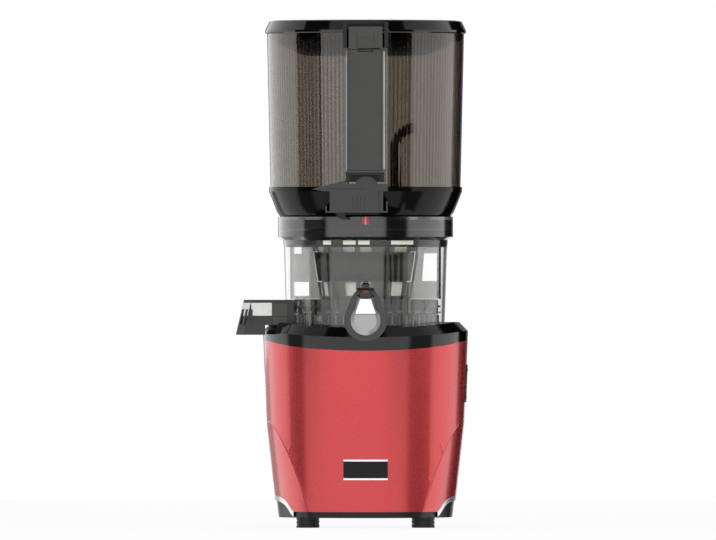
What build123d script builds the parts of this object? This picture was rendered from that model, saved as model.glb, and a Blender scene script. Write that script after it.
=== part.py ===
"""Hands-free cold press juicer: drive base, juicing drum and hopper, as separate pieces.

Millimetres. +Z up, +X to the right seen from the front, -Y to the front.
The origin lies on the bench, under the drive axis that the bowl and the hopper share.
"""

import os
from math import acos, atan2, cos, degrees, radians, sin, tan

from build123d import *

os.makedirs("parts", exist_ok=True)

# ------------------------------------------------------------------ driving sizes
# Fits
body_gap = 0.3  # between pieces that move apart
running_fit = 0.05  # radial, at a shaft or pin in its bore
slide_fit = 0.3  # round a piece that slides in its guide

# Drive base, outside
foot_height = 10.0
foot_radius = 11.5
foot_x = 58.0
foot_front = 58.0
foot_rear = 62.0
foot_groove = 1.0
plate_thickness = 6.0
plate_inset = 2.0
base_radius = 96.4  # half circle of the plan at the underside
back_reach = 8.6  # the flat back stands this much farther from the drive axis than the front
back_flat = 1.4  # half of the flat back between its round corners
flare_angle = 2.11  # the walls lean out by this much
wall = 3.0
housing_height = 171.5  # plate to seam, at the flanks
seam_drop = 9.5  # the seam falls by this much at the front
cover_height = 19.1  # seam to deck, at the flanks
deck_drop = 6.0
fall_start = 35.0  # distance in front of the axis where seam and deck begin to fall
deck_chamfer = 9.0
cover_wall = 3.5
scoop_radius = 123.0  # cylinders that flatten the lower flanks
scoop_waist = 89.0  # from the drive axis to the flattened flank, at the underside
scoop_bearing = 80.0  # from the front towards each side
scoop_lean = 0.113
sill_rise = 16.0  # the housing's lower edge rises by this much at the flanks
sill_start = 72.5
sill_end = 94.0
sill_knee = 8.0  # the edge passes its steepest stretch this far out
sill_knee_rise = 11.0
trim_height = 5.0
trim_depth = 5.0
badge_width = 44.5
badge_height = 20.5
badge_level = 58.5
badge_thickness = 0.8
badge_line = 1.8
badge_round = 1.0
boss_radius = 6.0
boss_height = 26.0
screw_radius = 2.0

# Rocker switch on the right flank
switch_level = 144.8
switch_width = 16.0
switch_height = 34.0
bezel_rim = 2.0
bezel_proud = 1.0
bezel_depth = 15.0
bezel_wall = 1.6
rocker_proud = 2.2
rocker_pin_radius = 1.5
rocker_pin_depth = 5.5
rocker_hollow = 2.6
rocker_depth = 9.5
rocker_heel = 6.0

# Cord gland at the back
gland_level = 42.0
gland_radius = 7.0
gland_flange = 10.0
cord_bore = 3.6

# Motor
motor_y = 20.0
mount_height = 12.0
mount_radius = 7.0
mount_pitch = 82.0
can_radius = 50.0
can_height = 84.0
can_wall = 3.0
can_flange = 98.0
stator_height = 50.0
stator_bore = 29.0
stator_slots = 12
stator_slot = 8.0
air_gap = 0.6
motor_shaft_radius = 5.0
bearing_radius = 11.0
bearing_height = 8.0
fan_radius = 38.0
fan_height = 7.0
fan_clearance = 2.0
fan_blades = 9
fan_blade = 1.5
fan_sweep = 25.0
vent_slots = 12
vent_width = 5.0
vent_length = 19.0
vent_ring = 23.6  # from the motor's axis to the middle of a slot

# Gearbox
first_module = 1.25
first_pinion_teeth = 12
first_gear_teeth = 48
web_holes = 6  # in the web of the big gear
web_ring = 0.58  # their circle and size, as shares of the gear's radius
web_hole = 0.18
second_module = 1.75
second_pinion_teeth = 12
second_gear_teeth = 36
pressure_angle = 20.0
backlash = 0.3
tooth_clearance = 0.25  # root to tip, in modules
case_floor = 4.0
case_wall = 3.5
case_margin = 3.0  # tooth tips to the case wall
gear_lift = 3.0
first_face = 8.0
second_face = 12.0
stage_gap = 2.5
cover_thickness = 5.0
layshaft_radius = 4.0
bush_height = 10.0
bush_wall = 4.0
shaft_radius = 10.0
shaft_chamfer = 1.0
shaft_stand = 6.0  # drive shaft above the bowl seat
hex_flats = 12.0
hex_fit = 0.15
socket_depth = 16.0
seal_height = 4.0
seal_width = 4.0

# Control board
board_y = 91.0
board_level = 95.0
board_width = 70.0
board_height = 56.0
board_thickness = 1.6
board_edge = 6.0
board_post = 3.0
board_part_height = 8.0

# Bowl seat in the deck
seat_depth = 6.6
seat_floor = 5.0
seat_fit = 1.2
notch_gap = 1.0

# Bowl
bowl_radius = 79.6  # outside, at the bottom
bowl_bulge = 2.4  # the wall swells by this much near the top
bowl_mouth = 3.4  # and by this much at the mouth
bowl_bulge_height = 78.7
bowl_height = 88.7
bowl_wall = 2.5
bowl_floor = 3.0
bowl_neck_height = 11.0
neck_set = 1.2  # the neck is this much smaller than the mouth
hub_radius = 14.0
hub_height = 15.4
lug_count = 4
lug_reach = 2.4
lug_height = 3.4
lug_span = 15.0
lug_rise = 4.0  # above the collar's lower edge
lug_turn = 45.0
bowl_hub_fit = 0.5
duct_mouth = 16.0
ledge_width = 2.6
ledge_height = 3.0
track_radius = 45.5
track_width = 3.0
duct_width = 26.0
duct_height = 11.0
duct_wall = 2.0
duct_start = 24.0

# Drum gears
drum_module = 1.75
auger_teeth = 24
idler_teeth = 12
drum_face = 6.0
gear_stand = 17.7  # underside of the drum gears above the bowl's underside
idler_bearing = -40.0  # from +X, seen from above
post_radius = 3.0
ring_width = 3.8

# Strainer and wiper basket
basket_lower_radius = 44.65  # outside, on top of the ring gear
basket_slope = 0.15
basket_wall = 1.8
basket_height = 60.5
basket_windows = 6
window_span = 33.0
window_turn = -100.0
lower_window = 14.0
lower_window_start = 9.0
upper_window = 7.0
middle_band = 30.0
blade_overhang = 2.0  # blade past the wing that carries it
wing_rise = 6.0
wing_frame = 2.0
wing_window = 15.0
wing_thickness = 2.0
blade_fit = 1.1  # blade to the bowl wall
blade_thickness = 1.2
strainer_gap = 1.2
strainer_wall = 1.6
mesh_thickness = 0.5
strainer_floor = 2.0
strainer_stand = 2.0
strainer_windows = 10
strainer_rib = 3.5
strainer_span = 30.0
pulp_hole = 13.0
strainer_flange = 2.0

# Auger and cutting screw
auger_gap = 0.8
auger_core_low = 26.0
auger_core_high = 21.0
flight_pitch = 38.0
flight_root = 7.0
flight_tip = 3.0
flight_sunk = 4.0  # root of a flight inside the core
flight_over = 60.0  # a flight is swept this wide and then cut to the bore it runs in
pin_rise = 14.0
pin_radius = 7.0
auger_neck_radius = 23.0
cutter_pitch = 56.0
stub_flats = 16.0
stub_height = 12.0
cutter_height = 47.0
cutter_top_radius = 15.0
cutter_disc_radius = 37.0
cutter_disc = 5.0
horn_x = 30.7
horn_width = 10.1
horn_height = 73.6
horn_tip_x = 49.4
horn_tip_depth = 11.0
horn_thickness = 11.0
horn_curl = 24.2  # below the tip, where the back starts to curl
horn_brow = 6.0
horn_throat = 17.6
horn_neck = 33.0
horn_taper = 2.0
horn_hook = 1.0

# Pulp spout on the left
spout_bearing = 14.0  # from -X towards the front
spout_width = 32.0
spout_wall = 2.5
spout_top = 28.7  # above the bowl's underside
spout_floor = 5.7
spout_reach = 42.7  # top of the outer end past the bowl wall
spout_slant = 8.4  # the foot of the outer end stands out by this much more
spout_drop = 6.5  # mouth below the bowl's underside
spout_step = 28.4  # from the bowl wall to the mouth's inner wall
window_height = 13.0
window_inset = 1.0
window_set = 2.3  # end wall left beyond the window
window_length = 19.0
window_margin = 3.0
flap_slot = 3.0
flap_set = 5.3  # from the top of the outer end back to the flap pin
flap_thickness = 2.4
flap_fingers = 3
flap_pin_radius = 1.2

# Juice nozzle and cap at the front
nozzle_level = 14.7  # above the bowl's underside
nozzle_bore = 8.5
nozzle_wall = 2.0
pear_stand = 26.4  # from the bowl wall to the back of the pear-shaped face
pear_thickness = 7.0
pear_low_radius = 21.5
pear_high_radius = 15.0
pear_low_level = 208.5
pear_rise = 17.5
pear_edge = 1.5
cap_radius = 15.3
cap_thickness = 8.0
cap_taper = 14.0
cap_neck_rise = 21.5
cap_neck_half = 7.0
cap_waist_half = 10.0
cap_waist_rise = 6.0
cap_step = 2.0
plug_taper = 10.0
plug_radius = 7.7
plug_depth = 3.2
cap_pin_radius = 2.0
cap_knuckle_radius = 4.0
cap_knuckle_half = 5.2
cap_ear = 3.4
cap_pin_rise = 28.5

# Collar and hopper base
collar_wall = 5.2  # collar outside the mouth of the bowl
collar_lip_wall = 1.6
collar_lip = 3.0
collar_height = 23.2
collar_roof = 3.0
collar_bore_fit = 0.5
twist_travel = 24.0
lug_play = 3.0
throat_radius = 42.0
throat_wall = 3.0
cone_foot_step = 2.2  # foot of the cone inside the collar wall
cone_knee_step = 3.2  # the knee stands out by this much from the foot
cone_knee_height = 5.0
cone_flare = 8.1  # the upper edge stands out by this much from the knee
cone_rise = 25.5
cone_height = 30.2
cone_wall = 3.0
funnel_foot = 4.0

throat_drop = 21.0  # throat below the collar's top

# Hopper body and its front column
hopper_set = 1.5  # hopper wall inside the upper edge of the cone
hopper_flare = 3.5
hopper_height = 154.3
hopper_wall = 2.2
column_left = -18.6
column_right = 17.6
column_depth = 9.7  # column outside the hopper's upper edge
column_low = 15.5  # above the hopper's lower edge
column_top = 137.8
column_wall = 3.0
bracket_height = 11.0
bracket_proud = 1.2
bracket_plate = 3.8
bracket_cheek = 4.0
bracket_rib_drop = 3.4
bracket_rib_width = 1.1
bracket_rib_pitch = 2.2
bracket_rib_offset = 12.0
notch_half = 7.6  # finger notch in the column's head, under the latch
notch_depth = 3.0
notch_height = 2.4
rod_radius = 2.4
rod_length = 100.0
rod_travel = 4.0
rod_x = 12.0
rod_wall = 1.3
column_round = 2.0
catch_stand = 1.7  # catch outside the hopper's upper edge
catch_depth = 3.0
catch_half = 8.0

# Latch box and locking lever on the hopper base
box_left = -36.0
box_right = 17.6
box_depth = 5.7  # box outside the upper edge of the cone
box_rise = 4.0
lever_set = 6.5  # from the front of the box back to the back of the lever
lever_arm = 3.5
box_flange_low = 4.7  # flange below the upper edge of the cone
box_flange_rise = 2.3  # and above it
box_flange_left = -42.9
box_flange_right = 22.2
box_wedge_tip = -53.9  # wedge that runs up to the column's bracket
box_wedge_rise = 8.4
box_dome_x = 0.8
box_dome_radius = 12.6
box_foot_left = -40.4  # small hooks at both feet of the box
box_foot_height = 6.4
box_hook_height = 11.5
box_hook_wall = 1.6
box_groove = 0.8
box_groove_depth = 0.6
box_seam_x = 13.7  # groove that sets the hook off from the box
box_seam_width = 1.6
box_seam_depth = 1.2
box_rib_x = -6.8  # four fine grooves in the front of the box
box_rib_pitch = 3.9
box_rib_length = 14.0
box_pivot_proud = 0.5
box_wall = 2.0
lever_pivot_x = 9.0
lever_pivot_level = 331.6
lever_pin_radius = 2.0
lever_thickness = 4.0
lever_tip_x = -31.0
lever_tip_level = 316.9
lever_toe = 10.6
lever_toe_drop = 8.2
mark_half = 3.5
mark_height = 7.0
mark_thickness = 0.6

# Lid, hinge and lid latch
lid_overhang = 2.0
lid_slope = 4.3
lid_height = 13.0
lid_rim = 3.0
lid_wall = 3.0
lid_gap = 0.3
lid_crown = 1.0
skirt_fit = 1.5
skirt_height = 7.0
liner_drop = 22.0  # underside of the liner's middle below the lid's lower edge
liner_flat = 62.0
liner_shoulder = 80.0
liner_shoulder_drop = 14.0
liner_rim = 3.0
liner_wall = 2.0
lid_seal_height = 3.0
hinge_stand = 7.7  # hinge pin outside the hopper's upper edge
hinge_rise = 6.0  # pin above the hopper's upper edge
hinge_pin_radius = 2.0
knuckle_radius = 4.2
hinge_half = 22.0
knuckle_length = 8.0
hinge_block_height = 24.0
latch_half = 22.7
latch_inner_half = 18.9
latch_gap = 2.0  # dark gap on each side of the latch plate
latch_bar = 1.5
latch_slot_x = 8.8
latch_slot_width = 1.3
latch_slot_height = 17.0
latch_low = 1.0  # frame above the column's top
latch_drop = 2.5
latch_plate = 3.0
grip_depth = 1.2
grip_rise = 6.0
grip_height = 9.0
grip_half = 7.0
grip_round = 1.0
latch_cheek = 4.0  # frame in front of the latch pin
latch_back_gap = 2.2  # back of the frame outside the hopper's upper edge
latch_pin_radius = 1.5
catch_height = 8.0
catch_lip = 2.5
nose_thickness = 2.0

# ------------------------------------------------------------------ levels and places
housing_bottom = foot_height + plate_thickness
seam_level = housing_bottom + housing_height
deck_level = seam_level + cover_height
seat_level = deck_level - seat_depth
flare = tan(radians(flare_angle))
front_reach = base_radius + (seam_level - foot_height) * flare
base_back = base_radius + back_reach
rear_corner = base_radius - back_flat
bowl_bulge_radius = bowl_radius + bowl_bulge
bowl_top_radius = bowl_radius + bowl_mouth
neck_radius = bowl_top_radius - neck_set
blade_reach = bowl_radius - bowl_wall - blade_fit
wing_reach = blade_reach - blade_overhang
spout_reach_top = bowl_radius + spout_reach
spout_reach_bottom = spout_reach_top + spout_slant
spout_mouth = bowl_radius + spout_step
window_start = spout_reach_top - window_set - window_length
flap_reach = spout_reach_top - flap_set
pear_back = bowl_radius + pear_stand
collar_radius = bowl_top_radius + collar_wall
collar_lip_radius = bowl_top_radius + collar_lip_wall
cone_foot_radius = collar_radius - cone_foot_step
cone_knee_radius = cone_foot_radius + cone_knee_step
cone_top_radius = cone_knee_radius + cone_flare
hopper_low_radius = cone_top_radius - hopper_set
hopper_high_radius = hopper_low_radius + hopper_flare
column_front = hopper_high_radius + column_depth
catch_back = hopper_high_radius + catch_stand
box_front = cone_top_radius + box_depth
lever_back = box_front - lever_set
lid_radius = hopper_high_radius + lid_overhang
lid_top_radius = lid_radius - lid_slope
hinge_reach = hopper_high_radius + hinge_stand
latch_pin_y = column_front
latch_front = latch_pin_y + latch_cheek
latch_back = hopper_high_radius + latch_back_gap

bowl_level = seat_level + body_gap
bowl_inside = bowl_level + bowl_floor
bowl_top = bowl_level + bowl_height
drum_gear_level = bowl_level + gear_stand
drum_gear_top = drum_gear_level + drum_face
basket_top = drum_gear_top + basket_height
strainer_level = drum_gear_top + strainer_stand
ledge_top = basket_top + 2 * body_gap + strainer_flange
ring_teeth = auger_teeth + 2 * idler_teeth
orbit_radius = drum_module * (auger_teeth + idler_teeth) / 2
idler_place = (orbit_radius * cos(radians(idler_bearing)), orbit_radius * sin(radians(idler_bearing)))

idler_mesh = idler_bearing + 180 + 180 / idler_teeth
ring_mesh = idler_bearing + 180 / ring_teeth

collar_level = bowl_top + body_gap
collar_top = collar_level + collar_height
cone_top = collar_top + cone_height
hopper_top = cone_top + hopper_height
can_level = housing_bottom + mount_height
case_level = can_level + can_height
first_level = case_level + case_floor + gear_lift
second_level = first_level + first_face + stage_gap
throat_level = collar_top - throat_drop
case_top = second_level + second_face + gear_lift
motor_place = (0.0, motor_y)

first_distance = first_module * (first_pinion_teeth + first_gear_teeth) / 2
second_distance = second_module * (second_pinion_teeth + second_gear_teeth) / 2
lay_y = (second_distance**2 - first_distance**2 + motor_y**2) / (2 * motor_y)
lay_x = (second_distance**2 - lay_y**2) ** 0.5
lay_place = (lay_x, lay_y)
lay_bearing = degrees(atan2(lay_y - motor_y, lay_x))
first_mesh = lay_bearing + 180 + 180 / first_gear_teeth
out_bearing = degrees(atan2(lay_y, lay_x))
second_mesh = out_bearing
second_pinion_mesh = out_bearing + 180 + 180 / second_pinion_teeth
fan_level = housing_bottom + fan_clearance


# ------------------------------------------------------------------ shared forms
def finish(piece, name):
    """Label a finished piece and write it."""
    piece.part.label = name
    export_step(piece.part, f"parts/{name}.step")


def tooth_points(teeth, module, tip_add, root_drop, thinning, turn):
    """Corners of a gear's outline: involute flanks met at root, pitch circle and tip."""
    pitch = teeth * module / 2
    base = pitch * cos(radians(pressure_angle))
    radii = [pitch - root_drop, pitch, pitch + tip_add]
    half_at_pitch = (90.0 / teeth) - degrees(thinning / 2 / pitch)

    def roll(radius):
        angle = acos(min(1.0, base / radius))
        return degrees(tan(angle) - angle)

    halves = [half_at_pitch + roll(pitch) - roll(radius) for radius in radii]
    corners = []
    for tooth in range(teeth):
        middle = turn + tooth * 360.0 / teeth
        rising = [(radius, middle - half) for radius, half in zip(radii, halves)]
        falling = [(radius, middle + half) for radius, half in zip(radii, halves)]
        for radius, angle in rising + falling[::-1]:
            corners.append((radius * cos(radians(angle)), radius * sin(radians(angle))))
    return corners


def gear_face(teeth, module, turn):
    """Face of an external gear, centred on the origin, with a tooth at the angle turn."""
    with BuildSketch() as face:
        with BuildLine():
            Polyline(
                *tooth_points(teeth, module, module, module * (1 + tooth_clearance), backlash, turn),
                close=True,
            )
        make_face()
    return face.sketch


def ring_gear_face(teeth, module, rim, turn):
    """Face of an internal gear: a ring with its gaps cut by an oversize gear outline."""
    with BuildSketch() as face:
        Circle(teeth * module / 2 + rim)
        with BuildLine():
            Polyline(
                *tooth_points(teeth, module, module * (1 + tooth_clearance), module * 0.9, -backlash, turn),
                close=True,
            )
        make_face(mode=Mode.SUBTRACT)
    return face.sketch


def turned(points):
    """A ring or cup turned round the drive axis from its half section in X and Z."""
    with BuildPart() as piece:
        with BuildSketch(Plane.XZ):
            with BuildLine():
                Polyline(*points, close=True)
            make_face()
        revolve(axis=Axis.Z)
    return piece.part


def heading(bearing, reach):
    """Point at a bearing, in degrees from +X seen from above, and a reach from the axis."""
    return (reach * cos(radians(bearing)), reach * sin(radians(bearing)))


# ------------------------------------------------------------------ drive base
def base_form(inset):
    """Outer form of the base, drawn in by inset.

    A half circle in front runs into straight flanks and round rear corners, and the walls
    lean out. Low down, two leaning cylinders flatten the flanks, which leaves a crease.
    """
    with BuildPart() as form:
        with BuildSketch(Plane.XY.offset(foot_height)) as plan:
            Circle(base_radius - inset)
            Rectangle(2 * (base_radius - inset), base_back - inset, align=(Align.CENTER, Align.MIN))
            fillet(plan.vertices().group_by(Axis.Y)[-1], radius=rear_corner - inset)
        extrude(amount=deck_level - foot_height, taper=-flare_angle)
        for side in (-1, 1):
            across = side * sin(radians(scoop_bearing))
            along = -cos(radians(scoop_bearing))
            middle = scoop_waist - scoop_radius
            with BuildSketch(Plane.XY.offset(foot_height)):
                with Locations((across * middle, along * middle)):
                    Circle(scoop_radius - inset)
            extrude(
                amount=2 * deck_level,
                dir=(across * scoop_lean, along * scoop_lean, 1),
                mode=Mode.INTERSECT,
            )
    return form.part


def above(level, drop):
    """Space above a surface that is level and falls by drop towards the front of the base."""
    fall = drop / (front_reach - fall_start)
    far = 2 * base_radius
    with BuildPart() as space:
        with BuildSketch(Plane.YZ):
            with BuildLine():
                Polyline(
                    (-far, level - fall * (far - fall_start)),
                    (-fall_start, level),
                    (far, level),
                    (far, 2 * deck_level),
                    (-far, 2 * deck_level),
                    close=True,
                )
            make_face()
        extrude(amount=far, both=True)
    return space.part


def hip_form():
    """Space under the chamfer that runs round the deck, level at the back and falling in front."""
    fall = deck_drop / (front_reach - fall_start)
    far = 2 * base_radius
    spread = far - base_radius
    edge_level = deck_level - deck_chamfer
    edge_radius = base_radius + (edge_level - foot_height) * flare + spread
    edge_back = base_back + (edge_level - foot_height) * flare + spread
    with BuildPart() as space:
        with BuildSketch(Plane.XY.offset(edge_level - spread)) as plan:
            Circle(edge_radius)
            Rectangle(2 * edge_radius, edge_back, align=(Align.CENTER, Align.MIN))
            fillet(plan.vertices().group_by(Axis.Y)[-1], radius=rear_corner + spread)
        extrude(amount=spread + 2 * deck_chamfer, taper=45)
        split(bisect_by=Plane.XZ.offset(fall_start), keep=Keep.BOTTOM)
        slope = Plane(origin=(0, -fall_start, edge_level), x_dir=(1, 0, 0), z_dir=(0, -fall, 1))
        with BuildPart(mode=Mode.PRIVATE) as front:
            with BuildSketch(slope.offset(-spread)):
                with Locations((0, fall_start)):
                    Circle(edge_radius)
            extrude(amount=spread + 2 * deck_chamfer, taper=45)
            split(bisect_by=Plane.XZ.offset(fall_start), keep=Keep.TOP)
        add(front.part)
    return space.part


def sill(height):
    """Space under the S-shaped edge that rises from the plate towards both flanks."""
    far = 2 * base_radius
    low = housing_bottom - height
    with BuildPart() as space:
        with BuildSketch(Plane.XZ):
            with BuildLine():
                edge = Spline(
                    (sill_start, low),
                    (sill_start + sill_knee, low + sill_knee_rise),
                    (sill_end, low + sill_rise),
                    tangents=((1, 0.9), (1, 0)),
                )
                Polyline(edge @ 1, (far, low + sill_rise), (far, 0), (0, 0), (0, low), edge @ 0)
            make_face()
            mirror(about=Plane.YZ)
        extrude(amount=far, both=True)
    return space.part


spout_plane = Plane.XY.rotated((0, 0, 180 + spout_bearing))
outer_form = base_form(0)
over_seam = above(seam_level, seam_drop)
over_deck = above(deck_level, deck_drop)
under_housing = sill(0)
under_trim = sill(trim_height)
with BuildPart() as trim_form:
    add(base_form(0))
    add(base_form(trim_depth), mode=Mode.SUBTRACT)
    add(under_housing, mode=Mode.INTERSECT)
    add(under_trim, mode=Mode.SUBTRACT)
    with BuildSketch(Plane.XY.offset(foot_height)):
        Rectangle(2 * sill_start, 4 * base_radius)
    extrude(amount=deck_level, mode=Mode.SUBTRACT)
trim_band = trim_form.part
feet = [(x, y) for x in (-foot_x, foot_x) for y in (-foot_front, foot_rear)]
flank_at_switch = base_radius + (switch_level - foot_height) * flare
back_at_gland = base_back + (gland_level - foot_height) * flare

# Housing: a thin moulded shell, open above and below, with four screw bosses on ribs inside.
with BuildPart() as bosses:
    with BuildSketch(Plane.XY.offset(housing_bottom)):
        with Locations(*feet):
            Circle(boss_radius)
        with Locations(*[(x, y + (base_back / 4 if y > 0 else -base_back / 4)) for x, y in feet]):
            Rectangle(wall, base_back / 2)
    extrude(amount=boss_height)
    add(base_form(wall / 2), mode=Mode.INTERSECT)

with BuildPart() as motor_housing:
    add(outer_form)
    add(base_form(wall), mode=Mode.SUBTRACT)
    add(bosses.part)
    add(over_seam, mode=Mode.SUBTRACT)
    add(under_housing, mode=Mode.SUBTRACT)
    with BuildSketch(Plane.XY.offset(housing_bottom)):
        with Locations(*feet):
            Circle(screw_radius)
    extrude(amount=boss_height - wall, mode=Mode.SUBTRACT)
    with BuildSketch(Plane.YZ.offset(flank_at_switch - bezel_depth)):
        with Locations((0, switch_level)):
            Rectangle(switch_width, switch_height)
    extrude(amount=2 * bezel_depth, mode=Mode.SUBTRACT)
    with BuildSketch(Plane.XZ.offset(-back_at_gland - wall)):
        with Locations((0, gland_level)):
            Circle(gland_radius)
    extrude(amount=4 * wall, mode=Mode.SUBTRACT)
finish(motor_housing, "motor_housing")

# Top cover: a glossy cap whose deck is chamfered all round and sunk where the bowl stands.
with BuildPart() as top_cover:
    add(outer_form)
    add(over_seam, mode=Mode.INTERSECT)
    add(over_deck, mode=Mode.SUBTRACT)
    add(hip_form(), mode=Mode.INTERSECT)
    with BuildSketch(Plane.XY.offset(seat_level)):
        Circle(bowl_radius + seat_fit)
    extrude(amount=2 * seat_depth, mode=Mode.SUBTRACT)
    with BuildSketch(Plane.XY):
        Circle(shaft_radius + seal_width)
    extrude(amount=deck_level, mode=Mode.SUBTRACT)
    with BuildPart(mode=Mode.PRIVATE) as hollow:
        add(base_form(cover_wall))
        add(above(deck_level - cover_wall - deck_chamfer, deck_drop), mode=Mode.SUBTRACT)
        with BuildSketch(Plane.XY.offset(seat_level - seat_floor)):
            Circle(2 * base_radius)
        extrude(amount=2 * deck_level, mode=Mode.SUBTRACT)
    add(hollow.part, mode=Mode.SUBTRACT)
    # Notch in the rim under the pulp spout
    with BuildSketch(spout_plane.offset(bowl_level + spout_floor - spout_wall - notch_gap)):
        with Locations((bowl_radius / 2, 0)):
            Rectangle(2 * bowl_radius, spout_width + 2 * notch_gap, align=(Align.MIN, Align.CENTER))
    extrude(amount=deck_level, mode=Mode.SUBTRACT)
finish(top_cover, "top_cover")

# Base plate: closes the housing from below, with air slots, and rises in its lower corners.
with BuildPart() as base_plate:
    add(base_form(plate_inset))
    with BuildSketch(Plane.XY.offset(foot_height)):
        Rectangle(2 * sill_start, 4 * base_radius)
    extrude(amount=plate_thickness, mode=Mode.INTERSECT)
    with BuildPart(mode=Mode.PRIVATE) as slab:
        add(base_form(trim_depth))
        with BuildSketch(Plane.XY.offset(foot_height)):
            Circle(2 * base_radius)
        extrude(amount=plate_thickness, mode=Mode.INTERSECT)
    add(slab.part)
    with BuildPart(mode=Mode.PRIVATE) as corners:
        add(base_form(plate_inset))
        add(under_trim, mode=Mode.INTERSECT)
        with BuildSketch(Plane.XY):
            Rectangle(2 * sill_start, 4 * base_radius)
        extrude(amount=deck_level, mode=Mode.SUBTRACT)
    add(corners.part)
    with BuildSketch(Plane.XY.offset(foot_height)):
        with Locations(*feet):
            Circle(screw_radius)
        with Locations(motor_place):
            with PolarLocations(vent_ring, vent_slots):
                SlotOverall(vent_length, vent_width)
    extrude(amount=plate_thickness, mode=Mode.SUBTRACT)
finish(base_plate, "base_plate")

# Silver trims along the S-shaped edge, one on each flank.
for side, name in ((-1, "corner_trim_left"), (1, "corner_trim_right")):
    with BuildPart() as corner_trim:
        add(trim_band)
        with BuildSketch(Plane.XY.offset(foot_height)):
            with Locations((side * 2 * base_radius, 0)):
                Rectangle(4 * base_radius, 4 * base_radius)
        extrude(amount=deck_level, mode=Mode.INTERSECT)
    finish(corner_trim, name)

# Rubber feet, ribbed round their sides, with a pocket for the screw that holds each.
with BuildPart() as rubber_feet:
    with BuildSketch(Plane.XY):
        with Locations(*feet):
            Circle(foot_radius - foot_groove)
    extrude(amount=foot_height)
    for level in (0.0, 0.4 * foot_height, 0.8 * foot_height):
        with BuildSketch(Plane.XY.offset(level)):
            with Locations(*feet):
                Circle(foot_radius)
        extrude(amount=0.2 * foot_height)
    with BuildSketch(Plane.XY):
        with Locations(*feet):
            Circle(2 * screw_radius)
    extrude(amount=foot_height / 2, mode=Mode.SUBTRACT)
    with BuildSketch(Plane.XY):
        with Locations(*feet):
            Circle(screw_radius)
    extrude(amount=foot_height, mode=Mode.SUBTRACT)
finish(rubber_feet, "rubber_feet")

with BuildPart() as base_screws:
    with BuildSketch(Plane.XY.offset(foot_height / 2 - screw_radius)):
        with Locations(*feet):
            Circle(1.8 * screw_radius)
    extrude(amount=screw_radius)
    with BuildSketch(Plane.XY.offset(foot_height / 2)):
        with Locations(*feet):
            Circle(screw_radius)
    extrude(amount=foot_height / 2 + plate_thickness + boss_height - 2 * wall)
finish(base_screws, "base_screws")

# Bare badge plate on the front, with a bright line along its upper and lower edges.
with BuildPart() as badge_plate:
    add(base_form(-badge_thickness))
    add(outer_form, mode=Mode.SUBTRACT)
    with BuildSketch(Plane.XZ):
        with Locations((0, badge_level)):
            RectangleRounded(badge_width, badge_height - 2 * badge_line, badge_round)
    extrude(amount=2 * base_radius, mode=Mode.INTERSECT)
finish(badge_plate, "badge_plate")

with BuildPart() as badge_lines:
    add(base_form(-1.5 * badge_thickness))
    add(outer_form, mode=Mode.SUBTRACT)
    with BuildSketch(Plane.XZ):
        with Locations((0, badge_level)):
            with GridLocations(0, badge_height - badge_line, 1, 2):
                Rectangle(badge_width, badge_line)
    extrude(amount=2 * base_radius, mode=Mode.INTERSECT)
finish(badge_lines, "badge_lines")

# Rocker switch: a bezel pushed into the flank, and a rocker with a hollowed face on its pin.
with BuildPart() as switch_bezel:
    add(base_form(-bezel_proud))
    add(outer_form, mode=Mode.SUBTRACT)
    with BuildSketch(Plane.YZ):
        with Locations((0, switch_level)):
            RectangleRounded(switch_width + 2 * bezel_rim, switch_height + 2 * bezel_rim, bezel_rim)
    extrude(amount=2 * base_radius, mode=Mode.INTERSECT)
    with BuildPart(mode=Mode.PRIVATE) as sleeve:
        with BuildSketch(Plane.YZ.offset(flank_at_switch - bezel_depth)):
            with Locations((0, switch_level)):
                Rectangle(switch_width, switch_height)
        extrude(amount=2 * bezel_depth)
        add(base_form(-bezel_proud), mode=Mode.INTERSECT)
    add(sleeve.part)
    with BuildSketch(Plane.YZ.offset(flank_at_switch - bezel_depth + bezel_wall)):
        with Locations((0, switch_level)):
            Rectangle(switch_width - 2 * bezel_wall, switch_height - 2 * bezel_wall)
    extrude(amount=2 * bezel_depth, mode=Mode.SUBTRACT)
    with Locations(Plane((flank_at_switch - rocker_pin_depth, 0, switch_level), z_dir=(0, 1, 0))):
        Cylinder(rocker_pin_radius, switch_width - bezel_wall)
finish(switch_bezel, "switch_bezel")

with BuildPart() as switch_rocker:
    half = switch_height / 2 - bezel_wall - 4 * body_gap
    face = flank_at_switch + rocker_proud
    with BuildSketch(Plane.XZ):
        with BuildLine():
            ThreePointArc(
                (face, switch_level + half),
                (face - rocker_hollow, switch_level),
                (face - rocker_hollow / 2, switch_level - half),
            )
            Polyline(
                (face - rocker_hollow / 2, switch_level - half),
                (face - rocker_depth / 2, switch_level - half),
                (face - rocker_depth, switch_level - rocker_heel),
                (face - rocker_depth, switch_level + rocker_heel),
                (face - rocker_depth / 2, switch_level + half),
                (face, switch_level + half),
            )
        make_face()
        with Locations((flank_at_switch - rocker_pin_depth, switch_level)):
            Circle(rocker_pin_radius + running_fit, mode=Mode.SUBTRACT)
    extrude(amount=switch_width / 2 - bezel_wall - body_gap, both=True)
finish(switch_rocker, "switch_rocker")

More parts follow.
